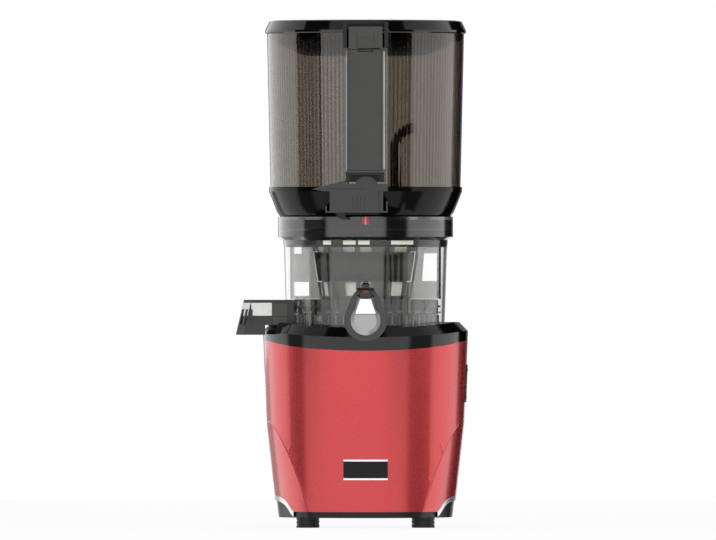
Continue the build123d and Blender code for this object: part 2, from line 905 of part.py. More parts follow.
# Cord gland: a flanged bush in the back wall.
with BuildPart() as cord_gland:
    with BuildSketch(Plane.XZ.offset(-back_at_gland + 3 * wall)):
        with Locations((0, gland_level)):
            Circle(gland_radius)
    extrude(amount=-4 * wall)
    with BuildSketch(Plane.XZ.offset(-back_at_gland - wall)):
        with Locations((0, gland_level)):
            Circle(gland_flange)
    extrude(amount=wall)
    add(outer_form, mode=Mode.SUBTRACT)
    with BuildPart(mode=Mode.PRIVATE) as neck:
        with BuildSketch(Plane.XZ.offset(-back_at_gland + 3 * wall)):
            with Locations((0, gland_level)):
                Circle(gland_radius)
        extrude(amount=-4 * wall)
    add(neck.part)
    with BuildSketch(Plane.XZ.offset(-back_at_gland + 4 * wall)):
        with Locations((0, gland_level)):
            Circle(cord_bore)
    extrude(amount=-8 * wall, mode=Mode.SUBTRACT)
finish(cord_gland, "cord_gland")

# ------------------------------------------------------------------ motor
mount_half = mount_pitch / 2
mounts = [(x, motor_y + y) for x in (-mount_half, mount_half) for y in (-mount_half, mount_half)]

with BuildPart() as motor_mounts:
    with BuildSketch(Plane.XY.offset(housing_bottom)):
        with Locations(*mounts):
            Circle(mount_radius)
    extrude(amount=mount_height)
finish(motor_mounts, "motor_mounts")

with BuildPart() as motor_can:
    with BuildSketch(Plane.XY.offset(can_level)):
        with Locations(motor_place):
            RectangleRounded(can_flange, can_flange, mount_radius)
    extrude(amount=can_wall)
    with BuildSketch(Plane.XY.offset(can_level)):
        with Locations(motor_place):
            Circle(can_radius)
    extrude(amount=can_height)
    with BuildSketch(Plane.XY.offset(can_level + can_wall)):
        with Locations(motor_place):
            Circle(can_radius - can_wall)
    extrude(amount=can_height - 2 * can_wall, mode=Mode.SUBTRACT)
    with BuildSketch(Plane.XY.offset(can_level)):
        with Locations(motor_place):
            Circle(bearing_radius + can_wall)
    extrude(amount=can_wall + bearing_height)
    with BuildSketch(Plane.XY.offset(case_level - can_wall - bearing_height)):
        with Locations(motor_place):
            Circle(bearing_radius + can_wall)
    extrude(amount=can_wall + bearing_height)
    with BuildSketch(Plane.XY.offset(can_level + can_wall)):
        with Locations(motor_place):
            Circle(bearing_radius)
    extrude(amount=can_height - 2 * can_wall, mode=Mode.SUBTRACT)
    with BuildSketch(Plane.XY.offset(can_level)):
        with Locations(motor_place):
            Circle(motor_shaft_radius + 4 * body_gap)
    extrude(amount=can_height, mode=Mode.SUBTRACT)
finish(motor_can, "motor_can")

with BuildPart() as motor_bearings:
    for level in (can_level + can_wall, case_level - can_wall - bearing_height):
        with BuildSketch(Plane.XY.offset(level)):
            with Locations(motor_place):
                Circle(bearing_radius)
                Circle(motor_shaft_radius + running_fit, mode=Mode.SUBTRACT)
        extrude(amount=bearing_height)
finish(motor_bearings, "motor_bearings")

core_level = can_level + (can_height - stator_height) / 2
with BuildPart() as stator_core:
    with BuildSketch(Plane.XY.offset(core_level)):
        with Locations(motor_place):
            Circle(can_radius - can_wall)
            Circle(stator_bore, mode=Mode.SUBTRACT)
            with PolarLocations(stator_bore, stator_slots):
                Rectangle(2 * stator_slot, stator_slot / 2, mode=Mode.SUBTRACT)
    extrude(amount=stator_height)
finish(stator_core, "stator_core")

with BuildPart() as rotor_core:
    with BuildSketch(Plane.XY.offset(core_level)):
        with Locations(motor_place):
            Circle(stator_bore - air_gap)
            Circle(motor_shaft_radius, mode=Mode.SUBTRACT)
    extrude(amount=stator_height)
finish(rotor_core, "rotor_core")

with BuildPart() as motor_shaft:
    with BuildSketch(Plane.XY.offset(fan_level)):
        with Locations(motor_place):
            Circle(motor_shaft_radius)
    extrude(amount=first_level - fan_level)
    with BuildSketch(Plane.XY.offset(first_level)):
        with Locations(motor_place):
            add(gear_face(first_pinion_teeth, first_module, lay_bearing))
    extrude(amount=first_face)
finish(motor_shaft, "motor_shaft")

with BuildPart() as cooling_fan:
    with BuildSketch(Plane.XY.offset(fan_level)):
        with Locations(motor_place):
            Circle(2 * motor_shaft_radius)
            with PolarLocations(fan_radius / 2 + motor_shaft_radius / 2, fan_blades):
                Rectangle(fan_radius - motor_shaft_radius, fan_blade, rotation=fan_sweep)
            Circle(motor_shaft_radius, mode=Mode.SUBTRACT)
    extrude(amount=fan_height)
    with BuildSketch(Plane.XY.offset(fan_level + fan_height)):
        with Locations(motor_place):
            Circle(fan_radius)
            Circle(motor_shaft_radius, mode=Mode.SUBTRACT)
    extrude(amount=fan_blade)
finish(cooling_fan, "cooling_fan")

# ------------------------------------------------------------------ gearbox
second_tip = second_module * (second_gear_teeth / 2 + 1)
first_tip = first_module * (first_gear_teeth / 2 + 1)


def case_plan(grow):
    """Plan of the gearbox: the wrap of both gears' circles."""
    with BuildSketch() as plan:
        Circle(second_tip + case_margin + grow)
        with Locations(lay_place):
            Circle(first_tip + case_margin + grow)
        make_hull()
    return plan.sketch


with BuildPart() as gearbox_case:
    with BuildSketch(Plane.XY.offset(case_level)):
        add(case_plan(case_wall))
    extrude(amount=case_top - case_level)
    with BuildSketch(Plane.XY.offset(case_level + case_floor)):
        add(case_plan(0))
    extrude(amount=case_top, mode=Mode.SUBTRACT)
    with BuildSketch(Plane.XY.offset(case_level + case_floor)):
        Circle(shaft_radius + bush_wall)
        with Locations(lay_place):
            Circle(layshaft_radius + bush_wall)
    extrude(amount=gear_lift - body_gap)
    with BuildSketch(Plane.XY.offset(case_level + case_floor / 2)):
        Circle(shaft_radius + running_fit)
        with Locations(lay_place):
            Circle(layshaft_radius + running_fit)
    extrude(amount=case_top, mode=Mode.SUBTRACT)
    with BuildSketch(Plane.XY.offset(case_level)):
        with Locations(motor_place):
            Circle(first_module * (first_pinion_teeth / 2 + 2))
    extrude(amount=case_floor, mode=Mode.SUBTRACT)
finish(gearbox_case, "gearbox_case")

with BuildPart() as gearbox_cover:
    with BuildSketch(Plane.XY.offset(case_top)):
        add(case_plan(case_wall))
    extrude(amount=cover_thickness)
    with BuildSketch(Plane.XY.offset(case_top)):
        Circle(shaft_radius + bush_wall)
    extrude(amount=cover_thickness + bush_height)
    with BuildSketch(Plane.XY.offset(case_top)):
        Circle(shaft_radius + running_fit)
    extrude(amount=cover_thickness + bush_height, mode=Mode.SUBTRACT)
    with BuildSketch(Plane.XY.offset(case_top)):
        with Locations(lay_place):
            Circle(layshaft_radius + running_fit)
    extrude(amount=cover_thickness / 2, mode=Mode.SUBTRACT)
finish(gearbox_cover, "gearbox_cover")

with BuildPart() as layshaft:
    with BuildSketch(Plane.XY.offset(case_level + case_floor / 2 + body_gap)):
        with Locations(lay_place):
            Circle(layshaft_radius)
    extrude(amount=case_top - case_level - case_floor / 2 + cover_thickness / 2 - 2 * body_gap)
    with BuildSketch(Plane.XY.offset(second_level)):
        with Locations(lay_place):
            add(gear_face(second_pinion_teeth, second_module, second_pinion_mesh))
    extrude(amount=second_face)
finish(layshaft, "layshaft")

with BuildPart() as layshaft_gear:
    with BuildSketch(Plane.XY.offset(first_level)):
        with Locations(lay_place):
            add(gear_face(first_gear_teeth, first_module, first_mesh))
            Circle(layshaft_radius, mode=Mode.SUBTRACT)
            with PolarLocations(first_tip * web_ring, web_holes):
                Circle(first_tip * web_hole, mode=Mode.SUBTRACT)
    extrude(amount=first_face)
finish(layshaft_gear, "layshaft_gear")

with BuildPart() as output_gear:
    with BuildSketch(Plane.XY.offset(second_level)):
        add(gear_face(second_gear_teeth, second_module, second_mesh))
        Circle(shaft_radius, mode=Mode.SUBTRACT)
    extrude(amount=second_face)
finish(output_gear, "output_gear")

with BuildPart() as drive_shaft:
    with BuildSketch(Plane.XY.offset(case_level + case_floor / 2 + body_gap)):
        Circle(shaft_radius)
    extrude(amount=seat_level + shaft_stand - case_level - case_floor / 2 - body_gap)
    chamfer(drive_shaft.edges().group_by(Axis.Z)[-1], length=shaft_chamfer)
    with BuildSketch(Plane.XY.offset(seat_level + shaft_stand - socket_depth)):
        RegularPolygon(hex_flats / 2 + hex_fit, 6, major_radius=False)
    extrude(amount=socket_depth, mode=Mode.SUBTRACT)
finish(drive_shaft, "drive_shaft")

with BuildPart() as shaft_seal:
    with BuildSketch(Plane.XY.offset(seat_level - seal_height)):
        Circle(shaft_radius + seal_width)
        Circle(shaft_radius + running_fit, mode=Mode.SUBTRACT)
    extrude(amount=seal_height)
finish(shaft_seal, "shaft_seal")

# Control board on two stand-offs at the back wall, with its run capacitor.
with BuildPart() as control_board:
    with BuildSketch(Plane.XZ.offset(-board_y)):
        with Locations((0, board_level)):
            Rectangle(board_width, board_height)
    extrude(amount=board_thickness)
    with BuildSketch(Plane.XZ.offset(-board_y)):
        with Locations((0, board_level)):
            with GridLocations(board_width - 2 * board_edge, 0, 2, 1):
                Circle(board_post)
    extrude(amount=-base_back)
    with BuildSketch(Plane.XZ.offset(-board_y + board_thickness)):
        with Locations((-board_width / 4, board_level), (board_width / 4, board_level + 2 * board_edge)):
            Rectangle(board_width / 4, board_height / 4)
    extrude(amount=board_part_height)
    add(base_form(wall), mode=Mode.INTERSECT)
finish(control_board, "control_board")

# ------------------------------------------------------------------ bowl
bowl_outline = [
    (0, bowl_level),
    (bowl_radius, bowl_level),
    (bowl_bulge_radius, bowl_level + bowl_bulge_height),
    (bowl_top_radius, bowl_top),
    (neck_radius, bowl_top),
    (neck_radius, bowl_top + bowl_neck_height),
]
bowl_mouth_radius = neck_radius - bowl_wall
gear_floor = drum_gear_level - body_gap
duct_roof = bowl_inside + duct_height

with BuildPart() as bowl:
    add(turned(bowl_outline + [(0, bowl_top + bowl_neck_height)]))
    cavity = [
        (0, bowl_inside),
        (bowl_radius - bowl_wall, bowl_inside),
        (bowl_bulge_radius - bowl_wall, bowl_level + bowl_bulge_height),
        (bowl_mouth_radius, bowl_top),
        (bowl_mouth_radius, 2 * bowl_top),
        (0, 2 * bowl_top),
    ]
    add(turned(cavity), mode=Mode.SUBTRACT)
    # Hub, wiper track and the idler's post
    with BuildSketch(Plane.XY.offset(bowl_level)):
        Circle(hub_radius)
    extrude(amount=hub_height)
    with BuildSketch(Plane.XY.offset(bowl_inside)):
        Circle(track_radius + track_width / 2)
        Circle(track_radius - track_width / 2, mode=Mode.SUBTRACT)
        with Locations(idler_place):
            Circle(2 * post_radius)
    extrude(amount=gear_floor - bowl_inside)
    with BuildSketch(Plane.XY.offset(bowl_inside)):
        with Locations(idler_place):
            Circle(post_radius)
    extrude(amount=drum_gear_top - bowl_inside)
    # Ledge that carries the strainer
    ledge = [
        (bowl_mouth_radius - ledge_width, ledge_top - strainer_flange),
        (bowl_mouth_radius, ledge_top - strainer_flange),
        (bowl_mouth_radius + bowl_wall / 2, ledge_top - strainer_flange - ledge_height),
        (bowl_mouth_radius, ledge_top - strainer_flange - ledge_height),
    ]
    add(turned(ledge))
    # Bayonet lugs round the neck
    with BuildSketch(Plane.XY.offset(collar_level + lug_rise)):
        Circle(neck_radius + lug_reach)
        Circle(neck_radius - bowl_wall / 2, mode=Mode.SUBTRACT)
        with BuildSketch(mode=Mode.INTERSECT):
            for quarter in range(lug_count):
                with BuildLine():
                    middle = quarter * 360 / lug_count + lug_turn
                    Polyline(
                        (0, 0),
                        heading(middle - lug_span / 2, 2 * neck_radius),
                        heading(middle + lug_span / 2, 2 * neck_radius),
                        close=True,
                    )
                make_face()
    extrude(amount=lug_height)
    # Covered duct that leads the pulp under the wiper to the spout
    with BuildPart(mode=Mode.PRIVATE) as duct:
        with BuildSketch(spout_plane.offset(bowl_inside)):
            with Locations((duct_start - duct_wall, 0)):
                Rectangle(
                    bowl_radius - duct_start, duct_width + 2 * duct_wall, align=(Align.MIN, Align.CENTER)
                )
        extrude(amount=duct_height + duct_wall)
        with BuildSketch(Plane.XY.offset(bowl_inside)):
            Circle(bowl_radius - bowl_wall / 2)
        extrude(amount=duct_height + duct_wall, mode=Mode.INTERSECT)
    add(duct.part)
    with BuildSketch(spout_plane.offset(bowl_inside)):
        with Locations((duct_start, 0)):
            Rectangle(bowl_radius, duct_width, align=(Align.MIN, Align.CENTER))
    extrude(amount=duct_height, mode=Mode.SUBTRACT)
    with BuildSketch(spout_plane.offset(duct_roof)):
        with Locations((duct_start, 0)):
            Rectangle(duct_mouth, duct_width, align=(Align.MIN, Align.CENTER))
    extrude(amount=drum_gear_level - duct_roof, mode=Mode.SUBTRACT)
    # Bores: drive shaft and seal from below, auger pin through the hub, juice outlet in front
    with BuildSketch(Plane.XY.offset(bowl_level)):
        Circle(shaft_radius + bowl_hub_fit)
    extrude(amount=shaft_stand + body_gap, mode=Mode.SUBTRACT)
    with BuildSketch(Plane.XY.offset(bowl_level)):
        Circle(pin_radius + 2 * body_gap)
    extrude(amount=hub_height, mode=Mode.SUBTRACT)
    with BuildSketch(Plane.XY.offset(bowl_level + hub_height - seal_height)):
        Circle(pin_radius + seal_width)
    extrude(amount=seal_height, mode=Mode.SUBTRACT)
    with BuildSketch(Plane.XZ.offset(bowl_radius - 4 * bowl_wall)):
        with Locations((0, bowl_level + nozzle_level)):
            Circle(nozzle_bore)
    extrude(amount=8 * bowl_wall, mode=Mode.SUBTRACT)
finish(bowl, "bowl")
outside_bowl = turned(bowl_outline + [(0, bowl_top + bowl_neck_height)])

with BuildPart() as bowl_seal:
    with BuildSketch(Plane.XY.offset(bowl_level + hub_height - seal_height)):
        Circle(pin_radius + seal_width)
        Circle(pin_radius + running_fit, mode=Mode.SUBTRACT)
    extrude(amount=seal_height)
finish(bowl_seal, "bowl_seal")

# ------------------------------------------------------------------ pulp spout
spout_way = heading(180 + spout_bearing, 1)
spout_side = Plane(origin=(0, 0, 0), x_dir=(*spout_way, 0), z_dir=(spout_way[1], -spout_way[0], 0))
spout_upper = bowl_level + spout_top
spout_lower = bowl_level - spout_drop


def spout_profile(inset):
    """Side view of the spout: level on top, slanting outer end, mouth below its outer half."""
    with BuildSketch(spout_side) as profile:
        with BuildLine():
            Polyline(
                (0, spout_upper - inset),
                (spout_reach_top - inset, spout_upper - inset),
                (spout_reach_bottom - inset, spout_lower),
                (spout_mouth + inset, spout_lower),
                (spout_mouth + inset, bowl_level + spout_floor - spout_wall + inset),
                (0, bowl_level + spout_floor - spout_wall + inset),
                close=True,
            )
        make_face()
    return profile.sketch


with BuildPart() as pulp_spout:
    extrude(spout_profile(0), amount=spout_width / 2, both=True)
    with BuildPart(mode=Mode.PRIVATE) as spout_bore:
        extrude(spout_profile(spout_wall), amount=spout_width / 2 - spout_wall, both=True)
    add(spout_bore.part, mode=Mode.SUBTRACT)
    add(outside_bowl, mode=Mode.SUBTRACT)
    # Window openings in both sides of the outer half
    with BuildSketch(spout_side):
        with Locations((window_start, spout_upper - window_margin)):
            Rectangle(window_length, window_height, align=(Align.MIN, Align.MAX))
    extrude(amount=spout_width, both=True, mode=Mode.SUBTRACT)
finish(pulp_spout, "pulp_spout")

with BuildPart() as spout_window:
    with BuildSketch(spout_side):
        with Locations((window_start, spout_upper - window_margin)):
            Rectangle(window_length, window_height, align=(Align.MIN, Align.MAX))
    extrude(amount=spout_width / 2 - window_inset, both=True)
    add(spout_bore.part, mode=Mode.SUBTRACT)
finish(spout_window, "spout_window")

# Silicone flap that hangs in the spout on its pin, with fingers along its lower half.
flap_top = spout_upper - spout_wall - flap_pin_radius - 2 * body_gap
flap_low = bowl_level + spout_floor + 2 * body_gap
flap_half = spout_width / 2 - spout_wall - body_gap
with BuildPart() as pulp_flap:
    with BuildSketch(spout_side):
        with Locations((flap_reach, flap_top)):
            Circle(flap_pin_radius)
        with Locations((flap_reach, (flap_top + flap_low) / 2)):
            Rectangle(flap_thickness, flap_top - flap_low)
    extrude(amount=flap_half, both=True)
    finger = 2 * flap_half / flap_fingers
    for cut in range(1, flap_fingers):
        with BuildSketch(spout_side.offset(cut * finger - flap_half)):
            with Locations((flap_reach, (flap_top + 3 * flap_low) / 4)):
                Rectangle(2 * flap_thickness, (flap_top - flap_low) / 2)
        extrude(amount=flap_slot / 2, both=True, mode=Mode.SUBTRACT)
finish(pulp_flap, "pulp_flap")

# ------------------------------------------------------------------ juice nozzle and cap
nozzle_height = bowl_level + nozzle_level
pear_front = pear_back + pear_thickness
cap_face = pear_front + body_gap
pin_level = pear_low_level + cap_pin_rise
cap_pin_y = cap_face + cap_knuckle_radius

with BuildPart() as juice_nozzle:
    with BuildSketch(Plane.XZ):
        with Locations((0, nozzle_height)):
            Circle(nozzle_bore + nozzle_wall)
    extrude(amount=pear_back)
    add(outside_bowl, mode=Mode.SUBTRACT)
    with BuildSketch(Plane.XZ.offset(pear_back)):
        with Locations((0, pear_low_level)):
            Circle(pear_low_radius)
        with Locations((0, pear_low_level + pear_rise)):
            Circle(pear_high_radius)
        make_hull()
    extrude(amount=pear_thickness)
    fillet(juice_nozzle.faces().sort_by(Axis.Y)[0].edges(), radius=pear_edge)
    with BuildSketch(Plane.XZ):
        with Locations((0, nozzle_height)):
            Circle(nozzle_bore)
    extrude(amount=2 * pear_back, mode=Mode.SUBTRACT)
    with BuildSketch(Plane.YZ):
        with Locations((-cap_pin_y, pin_level)):
            Circle(cap_knuckle_radius)
        with Locations((-pear_front, pin_level)):
            Rectangle(cap_knuckle_radius, 2 * cap_knuckle_radius, align=(Align.MIN, Align.CENTER))
        make_hull()
    extrude(amount=cap_knuckle_half + body_gap + cap_ear, both=True)
    with BuildSketch(Plane.YZ):
        with Locations((-pear_front, pin_level)):
            Rectangle(4 * cap_knuckle_radius, 4 * cap_knuckle_radius, align=(Align.MAX, Align.CENTER))
    extrude(amount=cap_knuckle_half + body_gap, both=True, mode=Mode.SUBTRACT)
    with BuildSketch(Plane.YZ):
        with Locations((-cap_pin_y, pin_level)):
            Circle(cap_pin_radius)
    extrude(amount=4 * cap_knuckle_half, both=True, mode=Mode.SUBTRACT)
finish(juice_nozzle, "juice_nozzle")

with BuildPart() as cap_pin:
    with BuildSketch(Plane.YZ):
        with Locations((-cap_pin_y, pin_level)):
            Circle(cap_pin_radius)
    extrude(amount=cap_knuckle_half + body_gap + cap_ear, both=True)
finish(cap_pin, "cap_pin")

# Lever cap: a round shield over the bore, a bright tapered thumb piece and a knuckle on the pin.
with BuildPart() as juice_cap:
    with BuildSketch(Plane.XZ.offset(cap_face)):
        with Locations((0, pear_low_level)):
            Circle(cap_radius)
    extrude(amount=cap_thickness, taper=cap_taper)
    with BuildSketch(Plane.XZ.offset(cap_face)):
        with BuildLine():
            Polyline(
                (-cap_waist_half, pear_low_level + cap_waist_rise),
                (cap_waist_half, pear_low_level + cap_waist_rise),
                (cap_neck_half, pear_low_level + cap_neck_rise),
                (-cap_neck_half, pear_low_level + cap_neck_rise),
                close=True,
            )
        make_face()
    extrude(amount=cap_thickness - cap_step)
    with BuildSketch(Plane.YZ):
        with BuildLine():
            Polyline(
                (-cap_face, pear_low_level),
                (-cap_face, pin_level),
                (-cap_face - 2 * cap_knuckle_radius, pin_level),
                (-cap_face - cap_thickness + cap_step, pear_low_level + cap_neck_rise / 2),
                (-cap_face - cap_thickness + cap_step, pear_low_level),
                close=True,
            )
        make_face()
    extrude(amount=cap_knuckle_half, both=True)
    with BuildSketch(Plane.YZ):
        with Locations((-cap_pin_y, pin_level)):
            Circle(cap_knuckle_radius)
    extrude(amount=cap_knuckle_half, both=True)
    with BuildSketch(Plane.YZ):
        with Locations((-cap_pin_y, pin_level)):
            Circle(cap_pin_radius + running_fit)
    extrude(amount=cap_knuckle_half, both=True, mode=Mode.SUBTRACT)
finish(juice_cap, "juice_cap")

with BuildPart() as cap_seal:
    with BuildSketch(Plane.XZ.offset(cap_face)):
        with Locations((0, nozzle_height)):
            Circle(plug_radius)
    extrude(amount=-plug_depth, taper=plug_taper)
finish(cap_seal, "cap_seal")

# ------------------------------------------------------------------ strainer


def cone_shell(low, high, low_radius, thickness):
    """Leaning wall with the wiper basket's slope, from low to high, given its outside radius at low."""
    rise = (high - low) * basket_slope
    return turned(
        [
            (low_radius - thickness, low),
            (low_radius, low),
            (low_radius + rise, high),
            (low_radius + rise - thickness, high),
        ]
    )


def sector(middle, span, reach):
    """Wedge seen from above, centred on a bearing."""
    with BuildSketch() as wedge:
        with BuildLine():
            Polyline(
                (0, 0),
                heading(middle - span / 2, reach),
                heading(middle + span / 2, reach),
                close=True,
            )
        make_face()
    return wedge.sketch


strainer_radius = basket_lower_radius - basket_wall - strainer_gap + strainer_stand * basket_slope
strainer_top = ledge_top - strainer_flange
middle_low = drum_gear_top + lower_window_start + lower_window
middle_high = middle_low + middle_band

strainer_mouth = strainer_radius + (strainer_top - strainer_level) * basket_slope - strainer_wall

with BuildPart() as strainer_frame:
    add(cone_shell(strainer_level, strainer_top, strainer_radius, strainer_wall))
    with BuildSketch(Plane.XY.offset(strainer_level)):
        Circle(strainer_radius - strainer_wall / 2)
    extrude(amount=strainer_floor)
    with BuildSketch(Plane.XY.offset(strainer_top)):
        Circle(bowl_mouth_radius - 2 * body_gap)
        Circle(strainer_mouth, mode=Mode.SUBTRACT)
    extrude(amount=strainer_flange)
    for low, high in (
        (strainer_level + 2 * strainer_floor, middle_low + middle_band / 2 - strainer_rib / 2),
        (middle_low + middle_band / 2 + strainer_rib / 2, strainer_top - strainer_floor),
    ):
        for window in range(strainer_windows):
            with BuildSketch(Plane.XY.offset(low)):
                add(sector(window * 360 / strainer_windows, strainer_span, 2 * basket_lower_radius))
            extrude(amount=high - low, mode=Mode.SUBTRACT)
    with BuildSketch(Plane.XY.offset(strainer_level)):
        Circle(auger_neck_radius + auger_gap)
    extrude(amount=strainer_floor, mode=Mode.SUBTRACT)
    with BuildSketch(spout_plane.offset(strainer_level)):
        with Locations((duct_start + duct_mouth / 2 + 2 * duct_wall, 0)):
            Rectangle(pulp_hole, duct_width - 2 * duct_wall)
    extrude(amount=strainer_floor, mode=Mode.SUBTRACT)
finish(strainer_frame, "strainer_frame")

with BuildPart() as strainer_mesh:
    mesh_level = strainer_level + strainer_floor
    mesh_radius = strainer_radius + strainer_floor * basket_slope - strainer_wall
    add(cone_shell(mesh_level, strainer_top, mesh_radius, mesh_thickness))
finish(strainer_mesh, "strainer_mesh")

# ------------------------------------------------------------------ wiper basket
with BuildPart() as wiper_basket:
    with BuildSketch(Plane.XY.offset(drum_gear_level)):
        add(ring_gear_face(ring_teeth, drum_module, ring_width, ring_mesh))
    extrude(amount=drum_face)
    add(cone_shell(drum_gear_top, basket_top, basket_lower_radius, basket_wall))
    for low, high in (
        (drum_gear_top + lower_window_start, middle_low),
        (middle_high, middle_high + upper_window),
    ):
        for window in range(basket_windows):
            turn = window * 360 / basket_windows + window_turn
            with BuildSketch(Plane.XY.offset(low)):
                add(sector(turn, window_span, 2 * basket_lower_radius))
            extrude(amount=high - low, mode=Mode.SUBTRACT)
    # Two wings that carry the outer blades, each with its own windows
    inner_cone = turned(
        [
            (0, drum_gear_top),
            (basket_lower_radius - basket_wall / 2, drum_gear_top),
            (basket_lower_radius - basket_wall / 2 + basket_height * basket_slope, basket_top),
            (0, basket_top),
        ]
    )
    with BuildPart(mode=Mode.PRIVATE) as wings:
        with BuildSketch(Plane.XZ):
            with Locations((0, (drum_gear_top + wing_rise + basket_top) / 2)):
                Rectangle(2 * wing_reach, basket_top - drum_gear_top - wing_rise)
            with Locations((-wing_reach + wing_frame, middle_low)):
                Rectangle(wing_window, lower_window, align=(Align.MIN, Align.MAX), mode=Mode.SUBTRACT)
            with Locations((-wing_reach + wing_frame, basket_top - wing_frame)):
                Rectangle(wing_window / 2, upper_window, align=(Align.MIN, Align.MAX), mode=Mode.SUBTRACT)
            with BuildLine():
                Polyline(
                    (wing_reach - wing_frame, middle_low + wing_frame / 2),
                    (wing_reach - wing_frame, middle_high - wing_frame / 2),
                    (wing_reach - wing_window, middle_high - wing_frame / 2),
                    (wing_reach - wing_window - wing_frame, middle_low + wing_frame / 2),
                    close=True,
                )
            make_face(mode=Mode.SUBTRACT)
        extrude(amount=wing_thickness / 2, both=True)
        add(inner_cone, mode=Mode.SUBTRACT)
    add(wings.part)
finish(wiper_basket, "wiper_basket")

# Silicone blades: a strip along the edge of each wing.
with BuildPart() as wiper_blades:
    with BuildSketch(Plane.XZ):
        with Locations((-wing_reach, drum_gear_top + wing_rise), (blade_reach, drum_gear_top + wing_rise)):
            Rectangle(
                blade_reach - wing_reach,
                basket_top - drum_gear_top - wing_rise,
                align=(Align.MAX, Align.MIN),
            )
    extrude(amount=blade_thickness / 2, both=True)
finish(wiper_blades, "wiper_blades")

with BuildPart() as idler_gear:
    with BuildSketch(Plane.XY.offset(drum_gear_level)):
        with Locations(idler_place):
            add(gear_face(idler_teeth, drum_module, idler_mesh))
            Circle(post_radius + running_fit, mode=Mode.SUBTRACT)
    extrude(amount=drum_face)
finish(idler_gear, "idler_gear")

# ------------------------------------------------------------------ auger and cutting screw
strainer_inside = strainer_radius - strainer_wall - mesh_thickness
auger_foot = strainer_level + strainer_floor + auger_gap
auger_top = ledge_top + body_gap


def flight(level, height, pitch, inner, outer, root, tip):
    """Helical flight: a tapering rib swept once round the axis per pitch."""
    with BuildPart() as rib:
        with BuildLine() as path:
            Helix(pitch=pitch, height=height, radius=inner, center=(0, 0, level))
        with BuildSketch(Plane(origin=path.line @ 0, x_dir=(1, 0, 0), z_dir=(0, -1, 0))):
            with BuildLine():
                Polyline(
                    (-flight_sunk, -root / 2),
                    (-flight_sunk, root / 2),
                    (outer - inner, tip / 2),
                    (outer - inner, -tip / 2),
                    close=True,
                )
            make_face()
        sweep(path=path.line, is_frenet=True)
    return rib.part


with BuildPart() as auger:
    add(
        turned(
            [
                (0, drum_gear_level - body_gap),
                (2 * pin_radius, drum_gear_level - body_gap),
                (2 * pin_radius, drum_gear_top),
                (auger_neck_radius, drum_gear_top),
                (auger_neck_radius, auger_foot),
                (auger_core_low, auger_foot),
                (auger_core_high, auger_top),
                (0, auger_top),
            ]
        )
    )
    with BuildPart(mode=Mode.PRIVATE) as flights:
        add(
            flight(
                auger_foot,
                auger_top - auger_foot,
                flight_pitch,
                auger_core_high,
                flight_over,
                flight_root,
                flight_tip,
            )
        )
        rise = (auger_top - auger_foot) * basket_slope
        add(
            turned(
                [
                    (0, auger_foot),
                    (strainer_inside - auger_gap, auger_foot),
                    (strainer_inside - auger_gap + rise, auger_top),
                    (0, auger_top),
                ]
            ),
            mode=Mode.INTERSECT,
        )
    add(flights.part)
    with BuildSketch(Plane.XY.offset(drum_gear_level)):
        add(gear_face(auger_teeth, drum_module, idler_bearing))
    extrude(amount=drum_face)
    with BuildSketch(Plane.XY.offset(auger_top)):
        RegularPolygon(stub_flats / 2, 6, major_radius=False)
    extrude(amount=stub_height)
    with BuildSketch(Plane.XY.offset(drum_gear_level - 2 * body_gap)):
        RegularPolygon(hex_flats / 2, 6, major_radius=False)
    extrude(amount=pin_rise + 2 * body_gap, mode=Mode.SUBTRACT)
finish(auger, "auger")

# Steel pin moulded into the auger: hexagonal where it drives, round where it runs in the seal.
with BuildPart() as auger_pin:
    with BuildSketch(Plane.XY.offset(seat_level + shaft_stand - socket_depth + 2 * body_gap)):
        RegularPolygon(hex_flats / 2, 6, major_radius=False)
    extrude(amount=drum_gear_level + pin_rise - seat_level - shaft_stand + socket_depth - 2 * body_gap)
    with BuildSketch(Plane.XY.offset(bowl_level + shaft_stand + 2 * body_gap)):
        Circle(pin_radius)
    extrude(amount=hub_height - shaft_stand - 2 * body_gap)
finish(auger_pin, "auger_pin")

